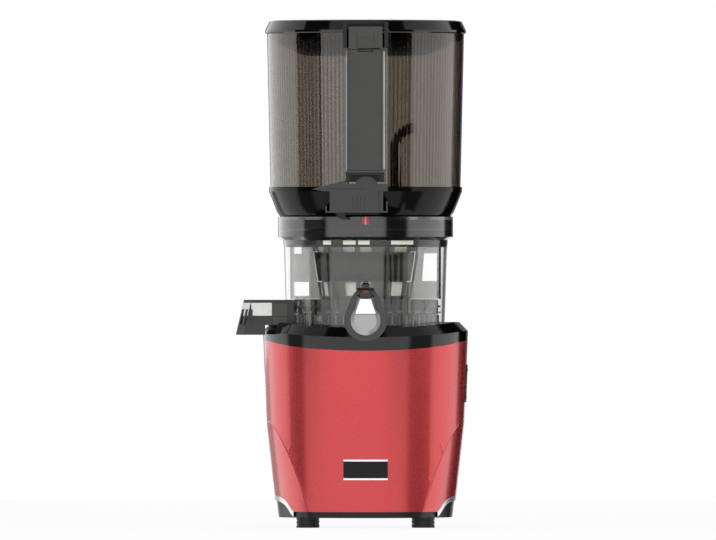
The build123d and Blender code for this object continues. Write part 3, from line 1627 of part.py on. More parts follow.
# Cutting screw: seats on the auger's stub, fills the throat with a flight and carries the horn.
cutter_foot = auger_top
cutter_top = cutter_foot + cutter_height
with BuildPart() as cutting_screw:
    add(
        turned(
            [
                (0, cutter_foot),
                (auger_core_high, cutter_foot),
                (cutter_top_radius, cutter_top - cutter_disc),
                (cutter_disc_radius, cutter_top - cutter_disc),
                (cutter_disc_radius, cutter_top - cutter_disc / 2),
                (cutter_top_radius, cutter_top + cutter_disc),
                (0, cutter_top + cutter_disc),
            ]
        )
    )
    with BuildPart(mode=Mode.PRIVATE) as wing:
        add(
            flight(
                cutter_foot,
                cutter_height - cutter_disc,
                cutter_pitch,
                cutter_top_radius,
                flight_over,
                flight_root,
                flight_tip,
            )
        )
        with BuildSketch(Plane.XY.offset(cutter_foot)):
            Circle(throat_radius - auger_gap)
        extrude(amount=cutter_height - cutter_disc, mode=Mode.INTERSECT)
    add(wing.part)
    with BuildSketch(Plane.XY.offset(cutter_foot)):
        RegularPolygon(stub_flats / 2, 6, major_radius=False)
    extrude(amount=stub_height, mode=Mode.SUBTRACT)
    # Horn: a block on the disc, an upright arm and a tip that curls outward
    with BuildSketch(Plane.XZ):
        left = horn_x - horn_width / 2
        right = horn_x + horn_width / 2
        tip_level = cutter_top + horn_height
        with BuildLine():
            Line((left, cutter_top - cutter_disc / 2), (left, tip_level - horn_curl))
            ThreePointArc(
                (left, tip_level - horn_curl),
                (left + horn_width, tip_level - horn_brow),
                (horn_tip_x, tip_level),
            )
            Line((horn_tip_x, tip_level), (horn_tip_x, tip_level - horn_tip_depth))
            ThreePointArc(
                (horn_tip_x, tip_level - horn_tip_depth),
                (right + horn_hook, tip_level - horn_throat),
                (right - horn_taper, tip_level - horn_neck),
            )
            Line((right - horn_taper, tip_level - horn_neck), (right, cutter_top - cutter_disc / 2))
            Line((right, cutter_top - cutter_disc / 2), (left, cutter_top - cutter_disc / 2))
        make_face()
    extrude(amount=horn_thickness / 2, both=True)
finish(cutting_screw, "cutting_screw")

# ------------------------------------------------------------------ collar and hopper base
collar_bore = neck_radius + collar_bore_fit
groove_low = collar_level + lug_rise - collar_bore_fit
groove_high = groove_low + lug_height + 2 * collar_bore_fit
groove_radius = neck_radius + lug_reach + collar_bore_fit

with BuildPart() as collar_ring:
    add(
        turned(
            [
                (collar_bore, collar_level),
                (collar_lip_radius, collar_level),
                (collar_radius, collar_level + collar_lip),
                (collar_radius, collar_top),
                (throat_radius + throat_wall, collar_top),
                (throat_radius + throat_wall, collar_top - collar_roof),
                (collar_radius - collar_roof, collar_top - collar_roof),
                (collar_radius - collar_roof, groove_high + collar_roof),
                (collar_bore, groove_high + collar_roof / 2),
                (collar_bore, groove_high),
                (groove_radius, groove_high),
                (groove_radius, groove_low),
                (collar_bore, groove_low),
            ]
        )
    )
    for quarter in range(lug_count):
        middle = quarter * 360 / lug_count + lug_turn - twist_travel
        with BuildSketch(Plane.XY.offset(collar_level)):
            Circle(groove_radius)
            Circle(neck_radius - bowl_wall, mode=Mode.SUBTRACT)
            add(sector(middle, lug_span + lug_play, 2 * collar_radius), mode=Mode.INTERSECT)
        extrude(amount=groove_low - collar_level + collar_bore_fit, mode=Mode.SUBTRACT)
finish(collar_ring, "collar_ring")

# Hopper base: an outer cone joined at its rim to the funnel that leads into the throat.
with BuildPart() as hopper_base:
    knee = collar_top + cone_knee_height
    rim = cone_top - (cone_height - cone_rise)
    funnel_rim = hopper_low_radius - hopper_wall
    add(
        turned(
            [
                (cone_foot_radius, collar_top),
                (cone_knee_radius, knee),
                (cone_top_radius, rim),
                (cone_top_radius, cone_top),
                (funnel_rim, cone_top),
                (funnel_rim, cone_top - cone_wall / 2),
                (throat_radius, collar_top + funnel_foot),
                (throat_radius, throat_level),
                (throat_radius + throat_wall - body_gap, throat_level),
                (throat_radius + throat_wall - body_gap, collar_top),
                (throat_radius + throat_wall, collar_top),
                (throat_radius + 2 * throat_wall, collar_top + funnel_foot - throat_wall / 2),
                (funnel_rim - 2 * cone_wall, rim - cone_wall / 2),
                (cone_top_radius - cone_wall, rim - cone_wall / 2),
                (cone_knee_radius - cone_wall, knee),
                (cone_foot_radius - cone_wall, collar_top),
            ]
        )
    )
finish(hopper_base, "hopper_base")

with BuildPart() as hopper_body:
    add(
        turned(
            [
                (hopper_low_radius - hopper_wall, cone_top),
                (hopper_low_radius, cone_top),
                (hopper_high_radius, hopper_top),
                (hopper_high_radius - hopper_wall, hopper_top),
            ]
        )
    )
finish(hopper_body, "hopper_body")
hopper_outline = [
    (0, cone_top),
    (hopper_low_radius, cone_top),
    (hopper_high_radius, hopper_top),
    (0, hopper_top),
]
inside_hopper = turned(hopper_outline)

# ------------------------------------------------------------------ front column
column_middle = (column_left + column_right) / 2
column_width = column_right - column_left
column_reach = column_front - hopper_low_radius + 4 * column_wall
column_foot = cone_top + column_low
column_head = cone_top + column_top
rod_y = hopper_high_radius + rod_radius + rod_wall
rod_top = hopper_top + lid_gap - body_gap
rod_foot = rod_top - rod_length

with BuildPart() as front_column:
    with BuildSketch(Plane.XY.offset(column_foot)):
        with Locations((column_middle, -column_front)):
            Rectangle(column_width, column_reach, align=(Align.CENTER, Align.MIN))
    extrude(amount=column_head - column_foot)
    fillet(front_column.edges().filter_by(Axis.Z).group_by(Axis.Y)[0], radius=column_round)
    add(inside_hopper, mode=Mode.SUBTRACT)
    with BuildSketch(Plane.XY.offset(rod_foot - rod_travel - body_gap)):
        with Locations((rod_x, -rod_y)):
            Circle(rod_radius + slide_fit)
    extrude(amount=rod_length, mode=Mode.SUBTRACT)
    with BuildSketch(Plane.XY.offset(column_head - notch_height)):
        with Locations((0, -column_front)):
            Rectangle(2 * notch_half, 2 * notch_depth)
    extrude(amount=notch_height, mode=Mode.SUBTRACT)
    # Catch on top, under whose lip the lid latch hooks
    with BuildSketch(Plane.YZ):
        with BuildLine():
            Polyline(
                (-catch_back, column_head),
                (-catch_back, column_head + catch_height),
                (-catch_back - catch_depth - catch_lip, column_head + catch_height),
                (-catch_back - catch_depth - catch_lip, column_head + catch_height - catch_lip),
                (-catch_back - catch_depth, column_head + catch_height - catch_lip),
                (-catch_back - catch_depth, column_head),
                close=True,
            )
        make_face()
    extrude(amount=catch_half, both=True)
finish(front_column, "front_column")

# Bracket under the column: a plate on two cheeks, with ribs under the plate.
bracket_width = column_width + 2 * bracket_proud
bracket_foot = column_foot - bracket_height

with BuildPart() as column_bracket:
    with BuildSketch(Plane.XY.offset(bracket_foot)):
        with Locations((column_middle, -column_front - bracket_proud)):
            Rectangle(bracket_width, column_reach, align=(Align.CENTER, Align.MIN))
    extrude(amount=bracket_height)
    with BuildSketch(Plane.XZ):
        with Locations((column_middle, bracket_foot)):
            Rectangle(
                bracket_width - 2 * bracket_cheek,
                bracket_height - bracket_plate,
                align=(Align.CENTER, Align.MIN),
            )
    extrude(amount=2 * column_front, mode=Mode.SUBTRACT)
    with BuildSketch(Plane.XY.offset(column_foot - bracket_plate - bracket_rib_drop)):
        with Locations((column_middle, -column_front)):
            with GridLocations(2 * bracket_rib_offset, 0, 2, 1):
                with GridLocations(bracket_rib_pitch, 0, 3, 1):
                    Rectangle(bracket_rib_width, column_reach, align=(Align.CENTER, Align.MIN))
    extrude(amount=bracket_rib_drop)
    add(inside_hopper, mode=Mode.SUBTRACT)
finish(column_bracket, "column_bracket")

with BuildPart() as safety_rod:
    with BuildSketch(Plane.XY.offset(rod_foot)):
        with Locations((rod_x, -rod_y)):
            Circle(rod_radius)
    extrude(amount=rod_length)
    chamfer(safety_rod.edges(), length=rod_radius / 4)
finish(safety_rod, "safety_rod")

# ------------------------------------------------------------------ latch box and locking lever
cone_outline = [
    (0, collar_top),
    (cone_foot_radius, collar_top),
    (cone_knee_radius, knee),
    (cone_top_radius, rim),
    (cone_top_radius, cone_top),
    (0, cone_top),
]
outside_cone = turned(cone_outline)
box_level = collar_top + box_rise
flange_level = cone_top - box_flange_low
flange_top = cone_top + box_flange_rise
wedge_head = column_left - bracket_proud
lever_slot = lever_thickness + 2 * slide_fit

with BuildPart() as latch_box:
    with BuildSketch(Plane.XZ):
        with BuildLine():
            Polyline(
                (box_left, box_level),
                (box_right, box_level),
                (box_right, flange_level),
                (box_flange_right, flange_level),
                (box_flange_right, flange_top),
                (wedge_head, flange_top),
                (wedge_head, flange_level + box_wedge_rise + box_flange_rise),
                (box_wedge_tip, flange_level + box_flange_rise),
                (box_flange_left, flange_level),
                (box_left, flange_level),
                close=True,
            )
        make_face()
        with Locations((box_dome_x, flange_top - box_flange_low)):
            Circle(box_dome_radius)
        # Hooks at the feet of the box
        with Locations((box_foot_left, box_level)):
            Rectangle(box_left - box_foot_left, box_hook_wall, align=(Align.MIN, Align.MIN))
            Rectangle(box_hook_wall, box_foot_height, align=(Align.MIN, Align.MIN))
        with Locations((box_flange_right, box_level)):
            Rectangle(box_flange_right - box_right, box_hook_wall, align=(Align.MAX, Align.MIN))
            Rectangle(box_hook_wall, box_hook_height, align=(Align.MAX, Align.MIN))
    extrude(amount=box_front)
    add(outside_cone, mode=Mode.SUBTRACT)
    add(inside_hopper, mode=Mode.SUBTRACT)
    with BuildSketch(Plane.XZ.offset(lever_back)):
        with BuildLine():
            Polyline(
                (box_left + box_wall, box_level - box_wall),
                (box_right - box_wall, box_level - box_wall),
                (box_right - box_wall, flange_level - box_wall),
                (box_left + box_wall, flange_level - box_wall),
                close=True,
            )
        make_face()
    extrude(amount=lever_slot, mode=Mode.SUBTRACT)
    with BuildSketch(Plane.XZ.offset(lever_back)):
        with Locations((lever_pivot_x, lever_pivot_level)):
            Circle(lever_pin_radius)
    extrude(amount=lever_slot)
    # Grooves in the front: along the flange, four upright ones, and one beside the hook
    with BuildSketch(Plane.XZ.offset(box_front - box_groove_depth)):
        with Locations((box_flange_left, cone_top - box_flange_rise)):
            Rectangle(-box_flange_left, box_groove, align=(Align.MIN, Align.CENTER))
        with Locations((box_rib_x, box_level + box_rib_length / 2 + box_wall)):
            with GridLocations(box_rib_pitch, 0, 4, 1):
                Rectangle(box_groove, box_rib_length)
    extrude(amount=box_groove_depth, mode=Mode.SUBTRACT)
    with BuildSketch(Plane.XZ.offset(box_front - box_seam_depth)):
        with Locations((box_seam_x, box_level)):
            Rectangle(box_seam_width, flange_level - box_level, align=(Align.CENTER, Align.MIN))
    extrude(amount=box_seam_depth, mode=Mode.SUBTRACT)
    with BuildSketch(Plane.XZ.offset(box_front)):
        with Locations((lever_pivot_x, lever_pivot_level)):
            Circle(1.5 * lever_pin_radius)
    extrude(amount=box_pivot_proud)
finish(latch_box, "latch_box")

with BuildPart() as locking_lever:
    with BuildSketch(Plane.XZ.offset(lever_back + slide_fit)):
        with BuildLine():
            Polyline(
                (lever_pivot_x + lever_arm, lever_pivot_level + lever_arm),
                (lever_pivot_x - lever_arm, lever_pivot_level + lever_arm),
                (lever_tip_x, lever_tip_level + lever_arm),
                (lever_tip_x, lever_tip_level),
                (lever_tip_x + lever_arm, lever_tip_level - 2 * lever_toe_drop / 3),
                (lever_tip_x + lever_toe, lever_tip_level - lever_toe_drop),
                (lever_tip_x + lever_toe, lever_tip_level),
                (lever_pivot_x + lever_arm, lever_pivot_level - lever_arm),
                close=True,
            )
        make_face()
        with Locations((lever_pivot_x, lever_pivot_level)):
            Circle(lever_pin_radius + running_fit, mode=Mode.SUBTRACT)
    extrude(amount=lever_thickness)
finish(locking_lever, "locking_lever")

# Alignment mark let into the collar's front.
with BuildPart() as alignment_mark:
    with BuildSketch(Plane.XZ):
        with Locations((0, collar_top - mark_height / 2)):
            Rectangle(2 * mark_half, mark_height)
    extrude(amount=collar_radius + mark_thickness)
    with BuildSketch(Plane.XY.offset(collar_level)):
        Circle(collar_radius)
    extrude(amount=2 * collar_height, mode=Mode.SUBTRACT)
finish(alignment_mark, "alignment_mark")

# ------------------------------------------------------------------ hinge and lid
hinge_level = hopper_top + hinge_rise
lid_level = hopper_top + lid_gap

with BuildPart() as hinge_block:
    with BuildSketch(Plane.YZ):
        with Locations((hinge_reach, hinge_level)):
            Circle(knuckle_radius)
        with Locations((hinge_reach, hinge_level - hinge_block_height)):
            Circle(knuckle_radius / 2)
        with Locations((hopper_low_radius - hopper_wall, hinge_level - hinge_block_height)):
            Circle(knuckle_radius / 2)
        with Locations((hopper_low_radius - hopper_wall, hinge_level - 3 * knuckle_radius)):
            Circle(knuckle_radius / 2)
        make_hull()
    extrude(amount=hinge_half - knuckle_length - body_gap, both=True)
    add(inside_hopper, mode=Mode.SUBTRACT)
    with BuildSketch(Plane.XY.offset(lid_level - 2 * body_gap)):
        Circle(lid_radius + 4 * body_gap)
    extrude(amount=2 * lid_height, mode=Mode.SUBTRACT)
    with BuildSketch(Plane.YZ):
        with Locations((hinge_reach, hinge_level)):
            Circle(hinge_pin_radius)
    extrude(amount=hinge_half, both=True, mode=Mode.SUBTRACT)
finish(hinge_block, "hinge_block")

with BuildPart() as hinge_pin:
    with BuildSketch(Plane.YZ):
        with Locations((hinge_reach, hinge_level)):
            Circle(hinge_pin_radius)
    extrude(amount=hinge_half, both=True)
finish(hinge_pin, "hinge_pin")

skirt_radius = hopper_high_radius - hopper_wall - skirt_fit
with BuildPart() as lid:
    add(
        turned(
            [
                (0, lid_level + lid_height - lid_wall),
                (skirt_radius - lid_wall, lid_level + lid_height - lid_wall - lid_rim),
                (skirt_radius - lid_wall, lid_level - skirt_height),
                (skirt_radius, lid_level - skirt_height),
                (skirt_radius, lid_level + lid_seal_height),
                (hopper_high_radius, lid_level + lid_seal_height),
                (hopper_high_radius, lid_level),
                (lid_radius - lid_rim / 4, lid_level),
                (lid_radius, lid_level + lid_rim / 4),
                (lid_radius, lid_level + lid_rim),
                (lid_top_radius, lid_level + lid_height - lid_crown),
                (lid_top_radius - 6 * lid_crown, lid_level + lid_height),
                (0, lid_level + lid_height),
            ]
        )
    )
    for side in (-1, 1):
        with BuildSketch(Plane.YZ.offset(side * (hinge_half - knuckle_length / 2))):
            with Locations((hinge_reach, hinge_level)):
                Circle(knuckle_radius)
            with Locations((lid_top_radius - knuckle_radius, hinge_level + knuckle_radius / 2)):
                Circle(knuckle_radius / 2)
            make_hull()
        extrude(amount=knuckle_length / 2, both=True)
        with BuildSketch(Plane.YZ.offset(side * (hinge_half - knuckle_length / 2))):
            with Locations((hinge_reach, hinge_level)):
                Circle(hinge_pin_radius + running_fit)
        extrude(amount=knuckle_length, both=True, mode=Mode.SUBTRACT)
finish(lid, "lid")

liner_radius = skirt_radius - lid_wall
liner_level = lid_level - liner_drop
shoulder_level = lid_level - liner_shoulder_drop
liner_edge = lid_level - skirt_height

with BuildPart() as lid_liner:
    add(
        turned(
            [
                (0, liner_level),
                (liner_flat, liner_level),
                (liner_shoulder, shoulder_level),
                (liner_radius, liner_edge),
                (liner_radius, liner_edge + liner_rim),
                (liner_radius - liner_wall, liner_edge + liner_rim),
                (liner_shoulder - liner_wall, shoulder_level + liner_wall),
                (liner_flat - liner_wall, liner_level + liner_wall),
                (0, liner_level + liner_wall),
            ]
        )
    )
finish(lid_liner, "lid_liner")

with BuildPart() as lid_seal:
    add(
        turned(
            [
                (skirt_radius, lid_level + body_gap),
                (hopper_high_radius, lid_level + body_gap),
                (hopper_high_radius, lid_level + lid_seal_height),
                (skirt_radius, lid_level + lid_seal_height),
            ]
        )
    )
finish(lid_seal, "lid_seal")

frame_low = column_head + latch_low
frame_top = lid_level + lid_height - latch_drop
latch_pin_level = frame_top - latch_bar - 3 * latch_pin_radius
lid_outline = [
    (0, lid_level),
    (lid_radius, lid_level),
    (lid_radius, lid_level + lid_rim),
    (lid_top_radius, lid_level + lid_height - lid_crown),
    (0, lid_level + lid_height),
]

with BuildPart() as latch_frame:
    with BuildSketch(Plane.XZ.offset(latch_back)):
        with Locations((0, (frame_low + frame_top) / 2)):
            Rectangle(2 * latch_half, frame_top - frame_low)
    extrude(amount=latch_front - latch_back)
    with BuildSketch(Plane.XZ.offset(latch_back)):
        with Locations((0, frame_low)):
            Rectangle(2 * latch_inner_half, 2 * (frame_top - latch_bar - frame_low))
    extrude(amount=latch_front, mode=Mode.SUBTRACT)
    with BuildSketch(Plane.XY.offset(frame_low)):
        Circle(hopper_high_radius + 4 * body_gap)
    extrude(amount=lid_level - frame_low, mode=Mode.SUBTRACT)
    with BuildSketch(Plane.YZ):
        with Locations((-latch_pin_y, latch_pin_level)):
            Circle(latch_pin_radius)
    extrude(amount=latch_inner_half, both=True)
    add(turned(lid_outline), mode=Mode.SUBTRACT)
finish(latch_frame, "latch_frame")

with BuildPart() as lid_latch:
    with BuildSketch(Plane.YZ):
        with Locations((-latch_pin_y - latch_plate / 2, latch_pin_level)):
            Rectangle(latch_plate, latch_pin_level - frame_low, align=(Align.CENTER, Align.MAX))
    extrude(amount=latch_inner_half - latch_gap, both=True)
    with BuildSketch(Plane.YZ):
        with Locations((-latch_pin_y, latch_pin_level)):
            Circle(2 * latch_pin_radius)
    extrude(amount=latch_inner_half - latch_gap, both=True)
    with BuildSketch(Plane.YZ):
        with Locations((-latch_pin_y, latch_pin_level)):
            Circle(latch_pin_radius + running_fit)
    extrude(amount=latch_inner_half, both=True, mode=Mode.SUBTRACT)
    # Nose that hooks under the catch
    with BuildSketch(Plane.YZ):
        with Locations((-latch_pin_y - latch_plate / 2, frame_low)):
            Rectangle(
                latch_pin_y - catch_back - catch_depth - 2 * body_gap + latch_plate / 2,
                nose_thickness,
                align=(Align.MIN, Align.MIN),
            )
    extrude(amount=catch_half, both=True)
    # Grip recess and the two slots beside it
    with BuildSketch(Plane.XZ.offset(latch_pin_y + latch_plate - grip_depth)):
        with Locations((0, frame_low + grip_rise)):
            RectangleRounded(2 * grip_half, grip_height, grip_round)
        with Locations((0, frame_low)):
            with GridLocations(2 * latch_slot_x, 0, 2, 1):
                Rectangle(latch_slot_width, 2 * latch_slot_height)
    extrude(amount=latch_plate, mode=Mode.SUBTRACT)
finish(lid_latch, "lid_latch")
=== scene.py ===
import math

import bmesh
import bpy
from mathutils import Matrix, Vector


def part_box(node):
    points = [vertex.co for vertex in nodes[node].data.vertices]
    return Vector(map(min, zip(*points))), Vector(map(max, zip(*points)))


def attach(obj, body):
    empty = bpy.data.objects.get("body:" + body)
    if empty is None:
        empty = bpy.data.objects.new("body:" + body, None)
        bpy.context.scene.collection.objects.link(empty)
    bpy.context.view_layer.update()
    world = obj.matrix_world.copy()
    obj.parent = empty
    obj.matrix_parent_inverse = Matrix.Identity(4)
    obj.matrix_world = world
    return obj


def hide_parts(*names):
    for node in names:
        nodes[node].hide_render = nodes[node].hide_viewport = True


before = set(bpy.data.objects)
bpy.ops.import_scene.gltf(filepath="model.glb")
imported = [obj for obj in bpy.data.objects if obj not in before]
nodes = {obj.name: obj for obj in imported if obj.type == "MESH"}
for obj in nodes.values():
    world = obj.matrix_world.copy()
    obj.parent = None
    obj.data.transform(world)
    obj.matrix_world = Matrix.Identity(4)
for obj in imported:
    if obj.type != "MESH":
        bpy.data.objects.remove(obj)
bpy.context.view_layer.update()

# Camera: level, straight on to the front, and far off with a long lens, so
# that the upright walls of the machine stay parallel.
view_across = -0.0076
view_level = 0.259
view_away = 20.047
lens = bpy.data.cameras.new("camera")
lens.lens = 1000.0
lens.sensor_width = 36.0
lens.clip_end = 100.0
camera = bpy.data.objects.new("camera", lens)
camera.location = (view_across, -view_away, view_level)
camera.rotation_euler = (math.pi / 2, 0.0, 0.0)
bpy.context.scene.collection.objects.link(camera)
bpy.context.scene.camera = camera
bpy.context.scene.view_settings.view_transform = "Standard"

# Studio: a white tent with black flags left and right of the front and far
# right behind, which glossy walls mirror as dark upright bands. The tent is
# plain white to the eye, and gives the even light from all sides.


def reckon(tree, operation, first, second=0.0, clamp=False):
    """One sum on two values, each a socket or a plain number."""
    step = tree.nodes.new("ShaderNodeMath")
    step.operation = operation
    step.use_clamp = clamp
    for place, value in enumerate((first, second)):
        if isinstance(value, float):
            step.inputs[place].default_value = value
        else:
            tree.links.new(value, step.inputs[place])
    return step.outputs[0]


def blend(tree, share, first, second):
    """Two shaders mixed, all of the first where share is 0 and all of the second where it is 1."""
    mix = tree.nodes.new("ShaderNodeMixShader")
    for place, source in enumerate((share, first, second)):
        tree.links.new(source, mix.inputs[place])
    return mix.outputs[0]


def grey_bands(tree, coordinates, ends, bands):
    """Greys round the upright axis: each band is a share of the turn and its grey."""
    turn = tree.nodes.new("ShaderNodeTexGradient")
    turn.gradient_type = "RADIAL"
    tree.links.new(coordinates, turn.inputs["Vector"])
    ramp = tree.nodes.new("ShaderNodeValToRGB")
    stops = ramp.color_ramp.elements
    for stop, place in ((stops[0], 0.0), (stops[1], 1.0)):
        stop.position = place
        stop.color = (ends, ends, ends, 1.0)
    for place, grey in bands:
        stops.new(place).color = (grey, grey, grey, 1.0)
    tree.links.new(turn.outputs["Fac"], ramp.inputs["Fac"])
    return ramp.outputs["Color"]


world = bpy.data.worlds.new("studio")
bpy.context.scene.world = world
world.use_nodes = True
tent = world.node_tree
tent.nodes.clear()
ray = tent.nodes.new("ShaderNodeLightPath")
towards = tent.nodes.new("ShaderNodeTexCoord")
flags = grey_bands(
    tent,
    towards.outputs["Generated"],
    1.0,
    (
        (0.004, 0.0),
        (0.098, 0.0),
        (0.105, 1.0),
        (0.320, 1.0),
        (0.327, 0.0),
        (0.405, 0.0),
        (0.412, 1.0),
        (0.600, 1.0),
        (0.612, 0.0),
        (0.690, 0.0),
        (0.700, 0.15),
        (0.785, 0.15),
        (0.795, 1.0),
    ),
)
height = tent.nodes.new("ShaderNodeSeparateXYZ")
tent.links.new(towards.outputs["Generated"], height.inputs["Vector"])
ceiling = tent.nodes.new("ShaderNodeMapRange")
ceiling.inputs["From Min"].default_value = 0.35
ceiling.inputs["From Max"].default_value = 0.85
ceiling.inputs["To Min"].default_value = 1.5
ceiling.inputs["To Max"].default_value = 0.35
tent.links.new(height.outputs["Z"], ceiling.inputs["Value"])
mirrored = tent.nodes.new("ShaderNodeBackground")
tent.links.new(flags, mirrored.inputs["Color"])
tent.links.new(ceiling.outputs["Result"], mirrored.inputs["Strength"])
even = tent.nodes.new("ShaderNodeBackground")
even.inputs["Color"].default_value = (1.0, 1.0, 1.0, 1.0)
even.inputs["Strength"].default_value = 0.55
seen = tent.nodes.new("ShaderNodeBackground")
seen.inputs["Color"].default_value = (1.0, 1.0, 1.0, 1.0)
seen.inputs["Strength"].default_value = 1.0
bounced = reckon(tent, "GREATER_THAN", ray.outputs["Glossy Depth"], 0.5)
scattered = reckon(tent, "GREATER_THAN", ray.outputs["Diffuse Depth"], 0.5)
gleam = reckon(tent, "SUBTRACT", bounced, scattered, clamp=True)
glossy = blend(tent, gleam, even.outputs[0], mirrored.outputs[0])
seen_through = reckon(tent, "SUBTRACT", ray.outputs["Is Transmission Ray"], bounced, clamp=True)
unscattered = reckon(tent, "SUBTRACT", seen_through, scattered, clamp=True)
straight = reckon(tent, "MAXIMUM", ray.outputs["Is Camera Ray"], unscattered)
tent_out = tent.nodes.new("ShaderNodeOutputWorld")
tent.links.new(blend(tent, straight, glossy, seen.outputs[0]), tent_out.inputs["Surface"])

# Lamps: two large softboxes in front, one behind and one above, all soft and
# aimed at the middle of the machine.
part_middle = Vector((0.0, 0.0, 0.25))
for lamp_name, spot, side, watts in (
    ("softbox_left", (-1.7, -2.2, 1.3), 1.6, 20.0),
    ("softbox_right", (1.7, -2.2, 1.1), 1.6, 17.0),
    ("softbox_behind", (0.4, 2.6, 1.4), 1.8, 14.0),
    ("softbox_above", (0.0, -0.3, 2.6), 1.6, 16.0),
):
    lamp = bpy.data.lights.new(lamp_name, "AREA")
    lamp.size = side
    lamp.energy = watts
    lamp_object = bpy.data.objects.new(lamp_name, lamp)
    lamp_object.location = spot
    aim = part_middle - Vector(spot)
    lamp_object.rotation_euler = aim.to_track_quat("-Z", "Y").to_euler()
    lamp_object.visible_glossy = False
    lamp_object.visible_camera = False
    lamp_object.visible_transmission = False
    bpy.context.scene.collection.objects.link(lamp_object)

# Floor: a plain pale sheet, wide enough to end out of sight, that shows the
# part's soft shadow.
floor_radius = 2.4
floor_form = bmesh.new()
bmesh.ops.create_circle(floor_form, cap_ends=True, segments=96, radius=floor_radius)
floor_mesh = bpy.data.meshes.new("floor")
floor_form.to_mesh(floor_mesh)
floor_form.free()
floor = bpy.data.objects.new("floor", floor_mesh)
bpy.context.scene.collection.objects.link(floor)
floor_paint = bpy.data.materials.new("floor_paint")
floor_paint.use_nodes = True
sheet = floor_paint.node_tree
sheet.nodes.clear()
sheet_ray = sheet.nodes.new("ShaderNodeLightPath")
matt = sheet.nodes.new("ShaderNodeBsdfDiffuse")
matt.inputs["Color"].default_value = (0.82, 0.82, 0.82, 1.0)
white = sheet.nodes.new("ShaderNodeEmission")
white.inputs["Color"].default_value = (1.0, 1.0, 1.0, 1.0)
unshaded = reckon(sheet, "MULTIPLY", sheet_ray.outputs["Is Camera Ray"], 0.9)
sheet_out = sheet.nodes.new("ShaderNodeOutputMaterial")
sheet.links.new(blend(sheet, unshaded, matt.outputs[0], white.outputs[0]), sheet_out.inputs["Surface"])
floor.data.materials.append(floor_paint)
floor.visible_glossy = False

# Low screen: a ring of lit and black cloth round the machine below its waist,
# which only glossy walls see, as the base leans over and mirrors downwards.
screen_radius = 1.5
screen_low = -1.0
screen_high = 0.14
screen_form = bmesh.new()
bmesh.ops.create_circle(screen_form, segments=96, radius=screen_radius)
bmesh.ops.translate(screen_form, verts=screen_form.verts, vec=(0.0, 0.0, screen_low))
risen = bmesh.ops.extrude_edge_only(screen_form, edges=list(screen_form.edges))["geom"]
screen_rim = [part for part in risen if isinstance(part, bmesh.types.BMVert)]
bmesh.ops.translate(screen_form, verts=screen_rim, vec=(0.0, 0.0, screen_high - screen_low))
screen_mesh = bpy.data.meshes.new("low_screen")
screen_form.to_mesh(screen_mesh)
screen_form.free()
screen = bpy.data.objects.new("low_screen", screen_mesh)
bpy.context.scene.collection.objects.link(screen)
screen_cloth = bpy.data.materials.new("screen_cloth")
screen_cloth.use_nodes = True
cloth = screen_cloth.node_tree
cloth.nodes.clear()
cloth_place = cloth.nodes.new("ShaderNodeTexCoord")
strips = grey_bands(
    cloth,
    cloth_place.outputs["Object"],
    0.15,
    (
        (0.040, 0.15),
        (0.055, 0.85),
        (0.380, 0.85),
        (0.395, 0.15),
        (0.462, 0.15),
        (0.475, 1.0),
        (0.600, 1.0),
        (0.612, 0.0),
        (0.690, 0.0),
        (0.700, 1.0),
        (0.790, 1.0),
        (0.800, 0.3),
        (0.855, 0.3),
        (0.865, 1.0),
        (0.975, 1.0),
        (0.990, 0.15),
    ),
)
cloth_light = cloth.nodes.new("ShaderNodeEmission")
cloth_light.inputs["Strength"].default_value = 1.5
cloth.links.new(strips, cloth_light.inputs["Color"])
cloth_out = cloth.nodes.new("ShaderNodeOutputMaterial")
cloth.links.new(cloth_light.outputs[0], cloth_out.inputs["Surface"])
screen_cloth.cycles.emission_sampling = "NONE"
screen_mesh.materials.append(screen_cloth)
for kind in ("visible_camera", "visible_diffuse", "visible_transmission", "visible_shadow"):
    setattr(screen, kind, False)


# Motor housing: one moulding of ABS with hollowed lower flanks, sprayed with a
# satin red that has fine metal flake under a thin clear coat.
def set_up(name, form, body, slot, *materials):
    """The finished form as a piece of that name in its materials, riding its body."""
    mesh = bpy.data.meshes.new(name)
    form.to_mesh(mesh)
    form.free()
    for material in materials:
        mesh.materials.append(material)
    piece = bpy.data.objects.new(name, mesh)
    bpy.context.scene.collection.objects.link(piece)
    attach(piece, body)
    return piece


def piece_from(node, body, material, slot, corner=35.0, edge=0.0):
    """The node's own shape, smooth between corners of that many degrees, its edges rounded by edge metres."""
    same_point = 2e-6
    same_plane = math.radians(0.6)
    shape = bmesh.new()
    shape.from_mesh(nodes[node].data)
    bmesh.ops.remove_doubles(shape, verts=shape.verts, dist=same_point)
    bmesh.ops.dissolve_limit(shape, angle_limit=same_plane, verts=shape.verts, edges=shape.edges)
    for face in shape.faces:
        face.smooth = True
    for line in shape.edges:
        line.smooth = len(line.link_faces) == 2 and line.calc_face_angle(0.0) < math.radians(corner)
    piece = set_up(node + "_finished", shape, body, slot, material)
    if edge:
        rounding = piece.modifiers.new("edges", "BEVEL")
        rounding.width = edge
        rounding.segments = 2
        rounding.limit_method = "ANGLE"
        rounding.angle_limit = math.radians(corner)
        rounding.harden_normals = True
    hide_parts(node)
    return piece


def mottle(net, where, scale, detail=2.0):
    """Soft random clouds, about scale of them to a metre."""
    clouds = net.nodes.new("ShaderNodeTexNoise")
    clouds.inputs["Scale"].default_value = scale
    clouds.inputs["Detail"].default_value = detail
    net.links.new(where, clouds.inputs["Vector"])
    return clouds.outputs["Fac"]


def spread(net, source, low, high):
    """The source's 0 to 1 spread from low to high."""
    scale = net.nodes.new("ShaderNodeMapRange")
    scale.inputs["To Min"].default_value = low
    scale.inputs["To Max"].default_value = high
    net.links.new(source, scale.inputs["Value"])
    return scale.outputs["Result"]


